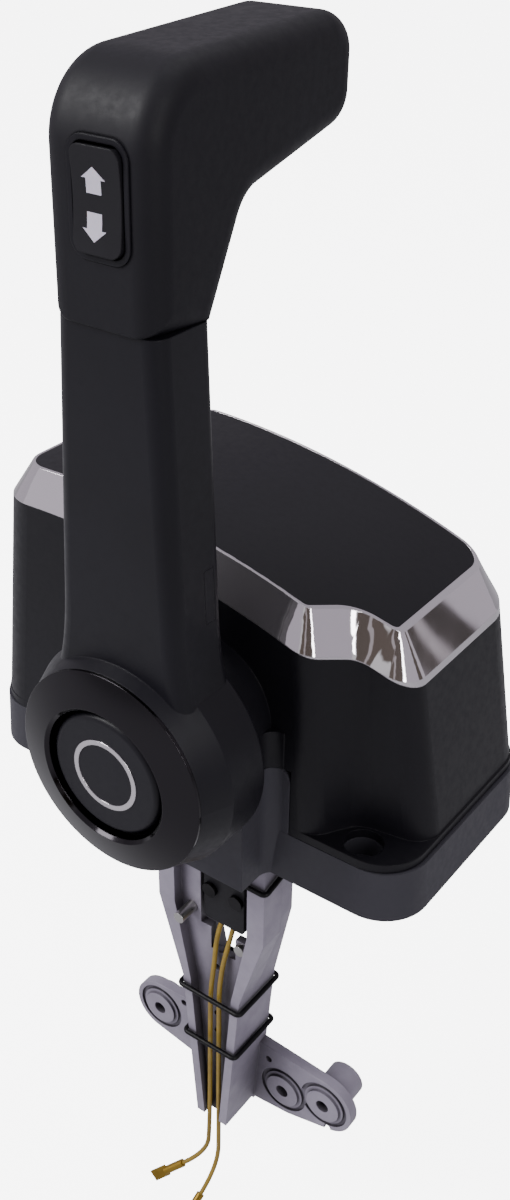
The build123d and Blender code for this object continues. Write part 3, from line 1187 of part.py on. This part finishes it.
lever_parts = {
    "lever_arm": make_lever_arm(),
    "grip_cover": make_grip_cover(),
    "hub_bezel": make_hub_bezel(),
    "rocker_frame": make_rocker_frame(),
    "trim_rocker": make_trim_rocker(),
    "wire_cover": make_wire_cover(),
    "throttle_only_button": make_throttle_only_button(),
    "button_inlay": make_button_inlay(),
    "button_spring": make_button_spring(),
    "push_rod": disc_y(ROD_R, AXIS_X, AXIS_Z, BUTTON_BACK_Y - BUTTON_THICK / 2, ROD_BACK_Y),
    "lever_clip": make_lever_clip(),
    "lever_set_screw": make_lever_set_screw(),
    "main_shaft": make_main_shaft(),
}
for name, shape in lever_parts.items():
    parts[name] = lean(shape)

parts["shaft_clip"] = make_shaft_clip()
parts["drive_gear"] = make_drive_gear()
parts["detent_wheel"] = make_detent_wheel()
parts["shift_arm"] = make_shift_arm()
parts["shift_cable_pin"] = cable_pin(-1, SHIFT_ARM_LENGTH, SHIFT_ARM_Y)
parts["neutral_cam"] = make_neutral_cam()
parts["throttle_arm"] = make_throttle_arm()
parts["throttle_cable_pin"] = cable_pin(1, THROTTLE_ARM_LENGTH, THROTTLE_ARM_Y)

os.makedirs("parts", exist_ok=True)
for name, shape in parts.items():
    solids = shape.solids()
    whole = solids[0] if len(solids) == 1 else Compound(children=list(solids))
    whole.label = name
    export_step(whole, "parts/" + name + ".step")
    print(name, "solids", len(solids), "volume", round(shape.volume, 1))
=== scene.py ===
# %% [markdown]
# A boat's throttle control lever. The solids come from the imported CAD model, where each piece is a node at
# its real size and place. This file gives every node its finish, adds the prints and leads that are too
# fine for the solids, and sets up the floor, the lights and the camera.
#
# The frame is loaded first, because all that follows hangs on its nodes and its moving bodies.

# %% Load the frame
import bpy
import bmesh
import math
from mathutils import Matrix, Vector


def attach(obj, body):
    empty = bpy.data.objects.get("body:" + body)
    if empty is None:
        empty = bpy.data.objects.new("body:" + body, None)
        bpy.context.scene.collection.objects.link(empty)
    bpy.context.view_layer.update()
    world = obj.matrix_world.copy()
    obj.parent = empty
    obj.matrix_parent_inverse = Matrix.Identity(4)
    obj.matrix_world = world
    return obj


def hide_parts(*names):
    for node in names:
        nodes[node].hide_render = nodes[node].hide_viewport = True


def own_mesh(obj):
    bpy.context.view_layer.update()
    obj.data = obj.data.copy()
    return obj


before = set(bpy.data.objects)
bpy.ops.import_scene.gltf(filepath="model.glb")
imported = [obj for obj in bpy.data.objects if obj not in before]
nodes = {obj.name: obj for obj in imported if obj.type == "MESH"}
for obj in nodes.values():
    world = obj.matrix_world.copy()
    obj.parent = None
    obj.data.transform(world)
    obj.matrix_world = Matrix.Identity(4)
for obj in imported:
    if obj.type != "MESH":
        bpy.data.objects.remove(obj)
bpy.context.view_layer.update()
MM = 0.001


# %% [markdown]
# Colours are written as hex codes, the way a paint chart gives them, but a renderer counts light, so one
# function turns them to linear values. The other helpers add one shader node each time they are called.
# Sizes are given in millimetres, so a grain or a scratch has the same size as on the real piece.

# %% Helpers for colours and shader nodes
def srgb(hex_code):
    """sRGB hex to a linear RGBA tuple."""
    values = [int(hex_code[i:i + 2], 16) / 255 for i in (1, 3, 5)]
    linear = [v / 12.92 if v <= 0.04045 else ((v + 0.055) / 1.055) ** 2.4 for v in values]
    return (*linear, 1.0)


def add(tree, kind, inputs=None, **settings):
    """Add one shader node, set its properties, then its input values or links."""
    node = tree.nodes.new(kind)
    for key, value in settings.items():
        setattr(node, key, value)
    for key, value in (inputs or {}).items():
        if isinstance(value, bpy.types.NodeSocket):
            tree.links.new(value, node.inputs[key])
        else:
            node.inputs[key].default_value = value
    return node


def noise(tree, size_mm, detail=3.0, rough=0.5):
    """Noise whose features are about size_mm across on the object."""
    coords = add(tree, "ShaderNodeTexCoord").outputs["Object"]
    return add(tree, "ShaderNodeTexNoise", {
        "Vector": coords, "Scale": 1 / (size_mm * MM), "Detail": detail, "Roughness": rough}).outputs["Fac"]


def between(tree, value, low, high, from_low=0.3, from_high=0.7):
    """Map a value that runs from from_low to from_high to the range low to high, as noise mostly does."""
    return add(tree, "ShaderNodeMapRange", {
        "Value": value, "From Min": from_low, "From Max": from_high, "To Min": low, "To Max": high,
    }).outputs["Result"]


def mixed(tree, factor, a, b):
    """Blend two colours."""
    node = add(tree, "ShaderNodeMix", data_type="RGBA")
    for key, value in (("Factor_Float", factor), ("A_Color", a), ("B_Color", b)):
        socket = [s for s in node.inputs if s.identifier == key][0]
        if isinstance(value, bpy.types.NodeSocket):
            tree.links.new(value, socket)
        else:
            socket.default_value = value
    return [s for s in node.outputs if s.identifier == "Result_Color"][0]


def bump(tree, height, depth_mm, normal=None):
    """Bump whose full height is depth_mm, laid over another normal if one is given."""
    inputs = {"Height": height, "Distance": depth_mm * MM}
    if normal is not None:
        inputs["Normal"] = normal
    return add(tree, "ShaderNodeBump", inputs).outputs["Normal"]


def soft_edge(tree, radius_mm):
    """Normal that rounds sharp edges, so that they catch a thin line of light."""
    return add(tree, "ShaderNodeBevel", {"Radius": radius_mm * MM}, samples=4).outputs["Normal"]


def shader(name):
    """Empty material with a Principled shader; returns (material, tree, principled)."""
    mat = bpy.data.materials.new(name)
    mat.use_nodes = True
    tree = mat.node_tree
    return mat, tree, tree.nodes["Principled BSDF"]


def set_inputs(tree, principled, values):
    """Set or link the Principled shader's sockets by name."""
    for key, value in values.items():
        if isinstance(value, bpy.types.NodeSocket):
            tree.links.new(value, principled.inputs[key])
        else:
            principled.inputs[key].default_value = value


print("helpers", [helper.__name__ for helper in (srgb, add, noise, between, mixed, bump, soft_edge, shader)])

# %% [markdown]
# The housing, arm and base are ABS, injected into a steel mould whose walls were spark-eroded. That leaves
# a fine even grain, so a light on it spreads to a soft sheen instead of a mirror's spot. Three noises do
# this: one for the grain's bump, one for faint broad flow marks in the colour, and one for patches that
# hands and dust have dulled. The real grain is about 0.1 mm across, too fine to show, so it is drawn at 0.3
# to 0.35 mm.

# %% Moulded plastics and rubber
FLOW_MARK_MM, DUST_MM = 38.0, 2.6


def moulded(name, colour, worn, rough, grain_mm, grain_depth, edge_mm=0.5):
    """Moulded plastic: spark-eroded grain, faint flow marks and a duller handled patchwork."""
    mat, tree, principled = shader(name)
    grain = noise(tree, grain_mm, 2.0, 0.6)
    flow = noise(tree, FLOW_MARK_MM, 3.0, 0.55)
    dust = noise(tree, DUST_MM, 4.0, 0.65)
    tone = mixed(tree, between(tree, flow, 0.0, 1.0), srgb(colour), srgb(worn))
    normal = bump(tree, grain, grain_depth, soft_edge(tree, edge_mm))
    set_inputs(tree, principled, {
        "Base Color": tone,
        "Roughness": between(tree, dust, rough - 0.05, rough + 0.07),
        "Specular IOR Level": 0.2,
        "Normal": normal,
    })
    return mat


# satin black with a violet cast: the housing and lid
black_plastic = moulded("black textured ABS", "#100f14", "#131217", rough=0.4, grain_mm=0.35,
                        grain_depth=0.01)
# a little smoother, so the arm and hub show longer highlights
arm_plastic = moulded("black satin ABS", "#121116", "#15141a", rough=0.38, grain_mm=0.3, grain_depth=0.007)
# charcoal and duller: the base reads lighter than the housing
grey_plastic = moulded("charcoal textured ABS", "#36353c", "#3b3a40", rough=0.5, grain_mm=0.35,
                       grain_depth=0.012)
# soft paint-like skin: wide dim highlights and rounded edges
grip_rubber = moulded("soft-touch grip skin", "#131217", "#17161b", rough=0.52, grain_mm=0.3,
                      grain_depth=0.01, edge_mm=0.8)
# nylon: near black with a weak sheen
switch_plastic = moulded("black nylon", "#17161a", "#1b1a1e", rough=0.45, grain_mm=0.3, grain_depth=0.01)
# matt, almost no highlight
seal_rubber = moulded("moulded rubber", "#09080a", "#0c0b0d", rough=0.65, grain_mm=0.3, grain_depth=0.015)
# smooth nylon strap with thin bright edges
tie_nylon = moulded("black tie nylon", "#08070a", "#0b0a0d", rough=0.45, grain_mm=0.4, grain_depth=0.008,
                    edge_mm=0.2)


print("plastics and rubber", 7)

# %% [markdown]
# The trim band is plastic plated with chromium: a mirror that shows the room, with a faint haze from wiping
# and a base that is never quite flat. The frame is die-cast metal under thin paint, so it has small pits,
# and its channel and hollows get painted shade: an ambient occlusion node darkens their colour there. Shafts
# and pins are turned or plated steel, the bushes are pressed from bronze powder, and the terminals are
# brass.
# Metals keep the shader's own IOR.

# %% Metals and plating
WIPE_HAZE_MM, BASE_WAVE_MM = 14.0, 22.0
# the last is how far ambient occlusion reaches when it paints shade into the casting's hollows
DULL_PATCH_MM, CASTING_PIT_MM, PAINTED_SHADE_REACH_MM = 9.0, 3.2, 26.0


def plated(name, colour, rough, edge_mm=0.4, metallic=1.0, wave_mm=0.02):
    """Bright chromium plating with faint wipe haze and a slightly wavy moulded base under it."""
    mat, tree, principled = shader(name)
    haze = noise(tree, WIPE_HAZE_MM, 4.0, 0.6)
    wave = noise(tree, BASE_WAVE_MM, 1.0, 0.3)
    set_inputs(tree, principled, {
        "Base Color": srgb(colour),
        "Metallic": metallic,
        "Roughness": between(tree, haze, rough, rough + 0.03),
        "Normal": bump(tree, wave, wave_mm, soft_edge(tree, edge_mm)),
    })
    return mat


def worked(name, colour, dull, rough, metallic=1.0, grain_mm=0.6, depth=0.01, edge_mm=0.3, pits=0.0,
           painted_shade=None):
    """Turned, cast or zinc-plated metal with fine relief and dull patches, and painted shade in its hollows.
    """
    mat, tree, principled = shader(name)
    fine = noise(tree, grain_mm, 3.0, 0.6)
    patch = noise(tree, DULL_PATCH_MM, 4.0, 0.6)
    tone = mixed(tree, between(tree, patch, 0.0, 1.0), srgb(colour), srgb(dull))
    # painted shade: where ambient occlusion finds a hollow, the colour is darkened towards the shade colour
    if painted_shade:
        open_share = add(tree, "ShaderNodeAmbientOcclusion", {"Distance": PAINTED_SHADE_REACH_MM * MM},
                         samples=8).outputs["AO"]
        tone = mixed(tree, between(tree, open_share, 0.0, 1.0, 0.3, 0.95), srgb(painted_shade), tone)
    normal = bump(tree, fine, depth, soft_edge(tree, edge_mm))
    if pits:
        normal = bump(tree, noise(tree, CASTING_PIT_MM, 4.0, 0.7), pits, normal)
    set_inputs(tree, principled, {
        "Base Color": tone,
        "Metallic": metallic,
        "Roughness": between(tree, patch, rough - 0.06, rough + 0.08),
        "Normal": normal,
    })
    return mat


# bright mirror with a lilac cast
chrome = plated("chrome plated trim", "#cdc8cd", rough=0.02, metallic=0.9, wave_mm=0.016)
# the same plating, smoked: dark, with only its rims bright
dark_chrome = plated("smoked chrome bezel", "#302e31", rough=0.1)
# painted casting: pale violet grey, mostly matt, with painted shade darkening its channel and hollows
cast_metal = worked("painted die-cast frame", "#9791a0", "#8b8594", rough=0.45, metallic=0.2, grain_mm=0.5,
                    depth=0.014, edge_mm=0.5, pits=0.03, painted_shade="#332f35")
# turned steel: clear soft streaks of light
steel = worked("turned steel", "#b9b8b6", "#a5a3a0", rough=0.3)
black_steel = worked("black oxide steel", "#2a292b", "#222123", rough=0.35)
# zinc plate: slightly yellow
zinc = worked("zinc plated plate", "#b5aea0", "#9a9385", rough=0.34)
spring_steel = worked("spring steel", "#8f8e90", "#777678", rough=0.3)
# pressed powder: brown and grainy
bronze = worked("sintered bronze", "#a5804f", "#8a6a40", rough=0.45, grain_mm=0.3, depth=0.02)
tinned_brass = worked("brass terminal", "#a98a3c", "#8c7030", rough=0.3, grain_mm=0.5, depth=0.01,
                      edge_mm=0.2)
print("metals", 9)

# %% [markdown]
# The leads have an extruded PVC skin: smooth, a little waxy, and smeared by handling. A touch of light
# passes into it, which is what a small subsurface weight gives. The pad print on the rocker is a thin film
# of the same sort.

# %% Lead insulation and pad print
SMEAR_MM, SKIN_GRAIN_MM = 6.0, 1.2


def insulation(name, colour, shade):
    """Smooth waxy plastic with smeared tone and gloss."""
    mat, tree, principled = shader(name)
    smear = noise(tree, SMEAR_MM, 3.0, 0.6)
    set_inputs(tree, principled, {
        "Base Color": mixed(tree, between(tree, smear, 0.0, 1.0), srgb(colour), srgb(shade)),
        "Roughness": between(tree, smear, 0.28, 0.42),
        "Subsurface Weight": 0.05,
        "Subsurface Scale": 0.4 * MM,
        "Normal": bump(tree, noise(tree, SKIN_GRAIN_MM, 2.0), 0.01),
    })
    return mat


lead_skin = insulation("ochre lead insulation", "#94792a", "#7c6520")
print("insulation", lead_skin.name)

# %% [markdown]
# Each node gets one finish. The list reads as the real parts list does: what is made of what.

# %% Finish every node
finishes = {
    black_plastic: ["housing_cover", "top_cover"],
    arm_plastic: ["lever_arm", "wire_cover", "rocker_frame", "throttle_only_button"],
    grey_plastic: ["base_frame"],
    grip_rubber: ["grip_cover"],
    switch_plastic: ["neutral_switch", "trim_rocker", "neutral_cam"],
    seal_rubber: ["shaft_seal", "friction_pad"],
    tie_nylon: ["cable_tie_top", "cable_tie_mid", "cable_tie_low"],
    chrome: ["chrome_trim", "button_inlay"],
    dark_chrome: ["hub_bezel"],
    cast_metal: ["control_frame"],
    steel: ["frame_screws", "plate_pillars", "plate_screws", "pivot_pin", "switch_plunger",
            "detent_screw", "friction_screw", "harness_pins", "push_rod", "lever_set_screw", "main_shaft",
            "drive_gear", "shift_cable_pin", "throttle_cable_pin"],
    black_steel: ["switch_screws"],
    zinc: ["rear_plate", "detent_wheel", "shift_arm", "throttle_arm"],
    spring_steel: ["detent_spring", "button_spring", "lever_clip", "shaft_clip"],
    bronze: ["front_bush", "rear_bush", "end_bush"],
    lead_skin: ["lead_a", "lead_b"],
    tinned_brass: ["lead_terminal_a", "lead_terminal_b"],
}
for mat, names in finishes.items():
    for name in names:
        nodes[name].data.materials.clear()
        nodes[name].data.materials.append(mat)
print("materials", len(finishes), "finished nodes", sum(len(v) for v in finishes.values()))

# %% [markdown]
# In neutral the lever doesn't stand quite upright: it leans 0.7 degrees about the main shaft. Whatever is
# added to it is drawn upright, in millimetres, and then turned by that lean, because straight numbers are
# easier to read and check.

# %% Lean of the lever, and a finished mesh's object
LEAN = math.radians(0.7)
AXIS_X, AXIS_Z = 12.0, 55.5


def leaned(x, y, z):
    """A point of the upright lever, in mm, moved to the lever's neutral lean, in metres."""
    dx, dz = x - AXIS_X, z - AXIS_Z
    return Vector((AXIS_X + dx * math.cos(LEAN) + dz * math.sin(LEAN), y,
                   AXIS_Z - dx * math.sin(LEAN) + dz * math.cos(LEAN))) * MM


def from_bmesh(bm, name, mat, body):
    """Finish a bmesh as an object at the origin that rides on a body."""
    bmesh.ops.recalc_face_normals(bm, faces=bm.faces)
    mesh = bpy.data.meshes.new(name)
    bm.to_mesh(mesh)
    bm.free()
    mesh.materials.append(mat)
    obj = bpy.data.objects.new(name, mesh)
    bpy.context.scene.collection.objects.link(obj)
    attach(obj, body)
    return obj


print("lean", round(math.degrees(LEAN), 2), "degrees")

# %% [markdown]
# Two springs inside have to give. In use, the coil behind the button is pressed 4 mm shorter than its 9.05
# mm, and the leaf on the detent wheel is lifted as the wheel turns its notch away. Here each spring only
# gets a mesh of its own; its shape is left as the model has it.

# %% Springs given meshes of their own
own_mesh(nodes["button_spring"])
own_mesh(nodes["detent_spring"])
print("springs that give", 2)

# %% [markdown]
# The rocker that trims the engine has two block arrows, printed with a soft pad that presses ink on its
# dished face. Each starts as a flat outline of seven points. It is cut into ten narrow rows, so that it can
# bend, its points are laid 0.1 mm proud of the dish, and it is extruded back into the face to give the film
# a thickness.

# %% Trim arrows printed on the rocker
ROCKER_Z, ROCKER_HALF_H, ROCKER_FRONT_Y, ROCKER_DISH = 216.5, 12.2, -84.5, 1.0


def rocker_face_y(z):
    """Y of the rocker's dished face at a height."""
    radius = (ROCKER_HALF_H ** 2 + ROCKER_DISH ** 2) / (2 * ROCKER_DISH)
    dz = z - ROCKER_Z
    return ROCKER_FRONT_Y + ROCKER_DISH - radius + math.sqrt(radius ** 2 - dz ** 2)


def trim_arrow(name, mat, tip_z, base_z, tail_z):
    """Block arrow cut into narrow rows, laid on the dished face and given its print's thickness."""
    bm = bmesh.new()
    tip, right_out, right_in, left_in, left_out, right_tail, left_tail = [
        bm.verts.new((ARROW_X + x, 0, z)) for x, z in (
            (0, tip_z), (HEAD_HALF, base_z), (STEM_HALF, base_z), (-STEM_HALF, base_z), (-HEAD_HALF, base_z),
            (STEM_HALF, tail_z), (-STEM_HALF, tail_z))]
    bm.faces.new((tip, right_out, right_in, left_in, left_out))
    bm.faces.new((left_in, right_in, right_tail, left_tail))
    for row in range(1, ROWS):
        bmesh.ops.bisect_plane(bm, geom=bm.verts[:] + bm.edges[:] + bm.faces[:], plane_no=(0, 0, 1),
                               plane_co=(0, 0, tip_z + (tail_z - tip_z) * row / ROWS))
    for vert in bm.verts:
        vert.co = leaned(vert.co.x, rocker_face_y(vert.co.z) - PRINT_PROUD, vert.co.z)
    grown = bmesh.ops.extrude_face_region(bm, geom=bm.faces[:])["geom"]
    bmesh.ops.translate(bm, verts=[part for part in grown if isinstance(part, bmesh.types.BMVert)],
                        vec=(0, PRINT_THICK * MM, 0))
    print(name, "faces", len(bm.faces), "open edges", sum(edge.is_boundary for edge in bm.edges))
    return from_bmesh(bm, name, mat, "trim")


ARROW_X, HEAD_HALF, STEM_HALF, ROWS = 12.8, 3.5, 2.2, 10
PRINT_PROUD, PRINT_THICK = 0.1, 0.15
arrow_print = insulation("pale lilac pad print", "#c9c3d2", "#beb8c8")
trim_arrow("arrow_up_print", arrow_print, 224.0, 221.3, 218.0)
trim_arrow("arrow_down_print", arrow_print, 207.2, 210.0, 213.8)
print("arrows", 2)

# %% [markdown]
# Two leads hang from the neutral switch, run down the frame's channel under the ties and end in brass
# terminals below it. Each is drawn as a smooth curve through a few points in millimetres, with a round
# section, because a lead is soft: the curve can be given other ends, where a solid tube could not. A cord's
# row tells its real length.

# %% Leads from the neutral switch to their terminals
LEAD_Y, LEAD_RADIUS = -38.5, 0.9
lead_routes = {
    "lead_a": [
        (13.0, LEAD_Y + 4, -42.3), (12.0, LEAD_Y + 2.2, -49.0), (12.6, LEAD_Y, -60.0),
        (11.2, LEAD_Y - 0.5, -74.0), (10.6, LEAD_Y, -94.0), (10.0, LEAD_Y + 0.4, -120.0),
        (9.8, LEAD_Y, -148.0), (9.2, LEAD_Y - 0.6, -165.0), (1.0, LEAD_Y - 6, -172.5)],
    "lead_b": [
        (18.0, LEAD_Y + 4, -42.3), (17.4, LEAD_Y + 2.2, -49.0), (16.2, LEAD_Y, -59.0),
        (15.0, LEAD_Y - 0.5, -72.0), (14.5, LEAD_Y, -92.0), (14.0, LEAD_Y + 0.4, -118.0),
        (14.2, LEAD_Y, -146.0), (14.4, LEAD_Y - 0.6, -169.0), (12.8, LEAD_Y - 10, -177.5)],
}
for name, points in lead_routes.items():
    curve = bpy.data.curves.new(name + " line", "CURVE")
    curve.dimensions = "3D"
    curve.bevel_depth = LEAD_RADIUS * MM
    curve.bevel_resolution = 5
    curve.use_fill_caps = True
    spline = curve.splines.new("NURBS")
    spline.points.add(len(points) - 1)
    for target, (x, y, z) in zip(spline.points, points):
        target.co = (x * MM, y * MM, z * MM, 1.0)
    spline.order_u = 3
    spline.use_endpoint_u = True
    spline.resolution_u = 12
    curve.materials.append(lead_skin)
    cord = bpy.data.objects.new(name + "_cord", curve)
    bpy.context.scene.collection.objects.link(cord)
    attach(cord, "base")
    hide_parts(name)

# %% [markdown]
# The object hangs over a pale floor, as a product does in a studio. The floor looks white from the camera,
# but it gives the object only a dim grey light from below, because a floor as bright as it looks would wash
# out the dark plastics.

# %% Pale floor
FLOOR_Z, FLOOR_SIZE, FLOOR_GLOW, FLOOR_LOOKS = -0.196, 12, 0.2, 6.0


def studio_floor():
    """Large plane under the object, brighter to the camera than to the object."""
    mat, tree, principled = shader("pale studio floor")
    seen = add(tree, "ShaderNodeLightPath").outputs["Is Camera Ray"]
    set_inputs(tree, principled, {
        "Base Color": mixed(tree, seen, srgb("#a2a2a6"), srgb("#fafafa")),
        "Roughness": 0.9,
        "Specular IOR Level": 0.1,
        "Emission Color": srgb("#ffffff"),
        "Emission Strength": between(tree, seen, FLOOR_GLOW, FLOOR_LOOKS, 0.0, 1.0),
    })
    bpy.ops.mesh.primitive_plane_add(size=FLOOR_SIZE, location=(0, 0, FLOOR_Z))
    floor = bpy.context.object
    floor.name = "studio_floor"
    floor.data.materials.append(mat)


studio_floor()
print("floor at", FLOOR_Z)

# %% [markdown]
# Three soft boxes light it: a large key from the front left, a narrow strip from the right, whose streak
# runs down the chrome and the arm, and a weak one above. Their sizes are in metres and their powers in
# watts.

# %% Soft boxes
LIGHT_TARGET = (0, 0, 0.05)


def softbox(name, position, size, power):
    """Rectangular area light that faces the object."""
    light = bpy.data.lights.new(name, "AREA")
    light.shape = "RECTANGLE"
    light.size, light.size_y = size
    light.energy = power
    lamp = bpy.data.objects.new(name, light)
    bpy.context.scene.collection.objects.link(lamp)
    lamp.location = position
    lamp.rotation_euler = (Vector(LIGHT_TARGET) - Vector(position)).to_track_quat("-Z", "Y").to_euler()
    print(name, power, "W")


softbox("key softbox", (-0.9, -1.1, 1.3), (0.9, 0.9), 37)
softbox("side softbox", (1.42, -0.68, 0.85), (0.2, 1.1), 9)
softbox("top softbox", (0.1, 0.5, 1.6), (1.2, 0.8), 5)

# %% [markdown]
# Chrome has hardly a colour of its own: it shows the room. So the room gets tall pale and brown panels, as
# a studio's walls, door frames and reflectors would give, and a pale ceiling. The panels are colours along
# the bearing round the object, which an arctangent gives. The camera itself sees a plain white room.

# %% Room for the chrome to show
# panels round the room: bearing in degrees from the lever side (-Y) towards +X, up to where, and colour
PANELS = [
    (-60, "#cfc9d3"), (-13, "#efe9f3"), (14, "#ded8e2"), (19, "#ffffff"), (30, "#5f5142"), (36, "#cbc3c4"),
    (58, "#57493b"), (69, "#ffffff"), (112, "#d9d3dd"), (126, "#4f4334"), (180, "#e0dae2")]
# a ramp holds 256 steps, so the narrow panels behind the object have a ramp of their own
FAR_FROM, FAR_TO = 134, 150
FAR_PANELS = [
    (137.8, "#e0dae2"), (138.7, "#3a2f24"), (139.3, "#d6cfd4"), (140.5, "#2a2016"), (150, "#dcd6df")]
PANEL_EDGE, ROOM_LIGHT, ROOM_LOOKS = 0.12, 0.9, 7.0


def banded(tree, bearing, panels, start, stop):
    """Colour ramp over the bearings from start to stop, with a sharp change at each panel's end."""
    share = add(tree, "ShaderNodeMapRange", {"Value": bearing, "From Min": math.radians(start),
                                             "From Max": math.radians(stop)}).outputs["Result"]
    node = add(tree, "ShaderNodeValToRGB", {"Fac": share})
    ramp = node.color_ramp
    ramp.elements[0].color = srgb(panels[0][1])
    ramp.elements[1].color = srgb(panels[-1][1])
    for (end, colour), (_, after) in zip(panels, panels[1:]):
        for shift, tone in ((-PANEL_EDGE, colour), (PANEL_EDGE, after)):
            ramp.elements.new((end + shift - start) / (stop - start)).color = srgb(tone)
    return node.outputs["Color"]


def studio_surround():
    """Room with tall pale and brown panels round it and a pale ceiling, for the chrome to show."""
    world = bpy.data.worlds.new("studio surround")
    bpy.context.scene.world = world
    world.use_nodes = True
    tree = world.node_tree
    way = add(tree, "ShaderNodeTexCoord").outputs["Generated"]
    axes = add(tree, "ShaderNodeSeparateXYZ", {"Vector": way}).outputs
    front = add(tree, "ShaderNodeMath", {0: axes["Y"], 1: -1.0}, operation="MULTIPLY").outputs[0]
    bearing = add(tree, "ShaderNodeMath", {0: axes["X"], 1: front}, operation="ARCTAN2").outputs[0]
    far = between(tree, bearing, 0.0, 1.0, math.radians(FAR_FROM), math.radians(FAR_FROM + 0.1))
    walls = mixed(tree, far, banded(tree, bearing, PANELS, -180, 180),
                  banded(tree, bearing, FAR_PANELS, FAR_FROM, FAR_TO))
    height = between(tree, axes["Z"], 0.0, 1.0, 0.5, 0.85)
    room = mixed(tree, height, walls, srgb("#bebbc3"))
    seen = add(tree, "ShaderNodeLightPath").outputs["Is Camera Ray"]
    colour = mixed(tree, seen, room, srgb("#fcfcfc"))
    background = tree.nodes["Background"]
    tree.links.new(colour, background.inputs["Color"])
    tree.links.new(between(tree, seen, ROOM_LIGHT, ROOM_LOOKS, 0.0, 1.0), background.inputs["Strength"])


studio_surround()
print("panels", len(PANELS) + len(FAR_PANELS))

# %% [markdown]
# The camera stands to the front right and looks down on the object, with a lens of about 41 mm on a frame
# 36 mm high and a small shift. Its three directions are worked out from the two angles and put in its
# matrix at once.

# %% Camera
AZIMUTH, ELEVATION = math.radians(36.8), math.radians(31.4)
SENSOR_HEIGHT, FOCAL_PIXELS, IMAGE_HEIGHT = 36, 1360, 1200
SHIFT_RIGHT_PIXELS, SHIFT_UP_PIXELS = 29, 4
CAMERA_AT = (0.2213, -0.3106, 0.2977)
back = Vector((math.sin(AZIMUTH) * math.cos(ELEVATION), -math.cos(AZIMUTH) * math.cos(ELEVATION),
               math.sin(ELEVATION)))
right = Vector((math.cos(AZIMUTH), math.sin(AZIMUTH), 0))
up = back.cross(right)
camera_data = bpy.data.cameras.new("camera")
camera_data.sensor_fit = "VERTICAL"
camera_data.sensor_height = SENSOR_HEIGHT
camera_data.lens = SENSOR_HEIGHT * FOCAL_PIXELS / IMAGE_HEIGHT
camera_data.shift_x = SHIFT_RIGHT_PIXELS / IMAGE_HEIGHT
camera_data.shift_y = SHIFT_UP_PIXELS / IMAGE_HEIGHT
camera_data.clip_start = 0.01
camera = bpy.data.objects.new("camera", camera_data)
camera.matrix_world = Matrix.Translation(CAMERA_AT) @ Matrix((
    (right.x, up.x, back.x), (right.y, up.y, back.y), (right.z, up.z, back.z))).to_4x4()
bpy.context.scene.collection.objects.link(camera)
bpy.context.scene.camera = camera
print("camera", [round(v, 3) for v in camera.location], "lens", round(camera_data.lens, 1), "mm")
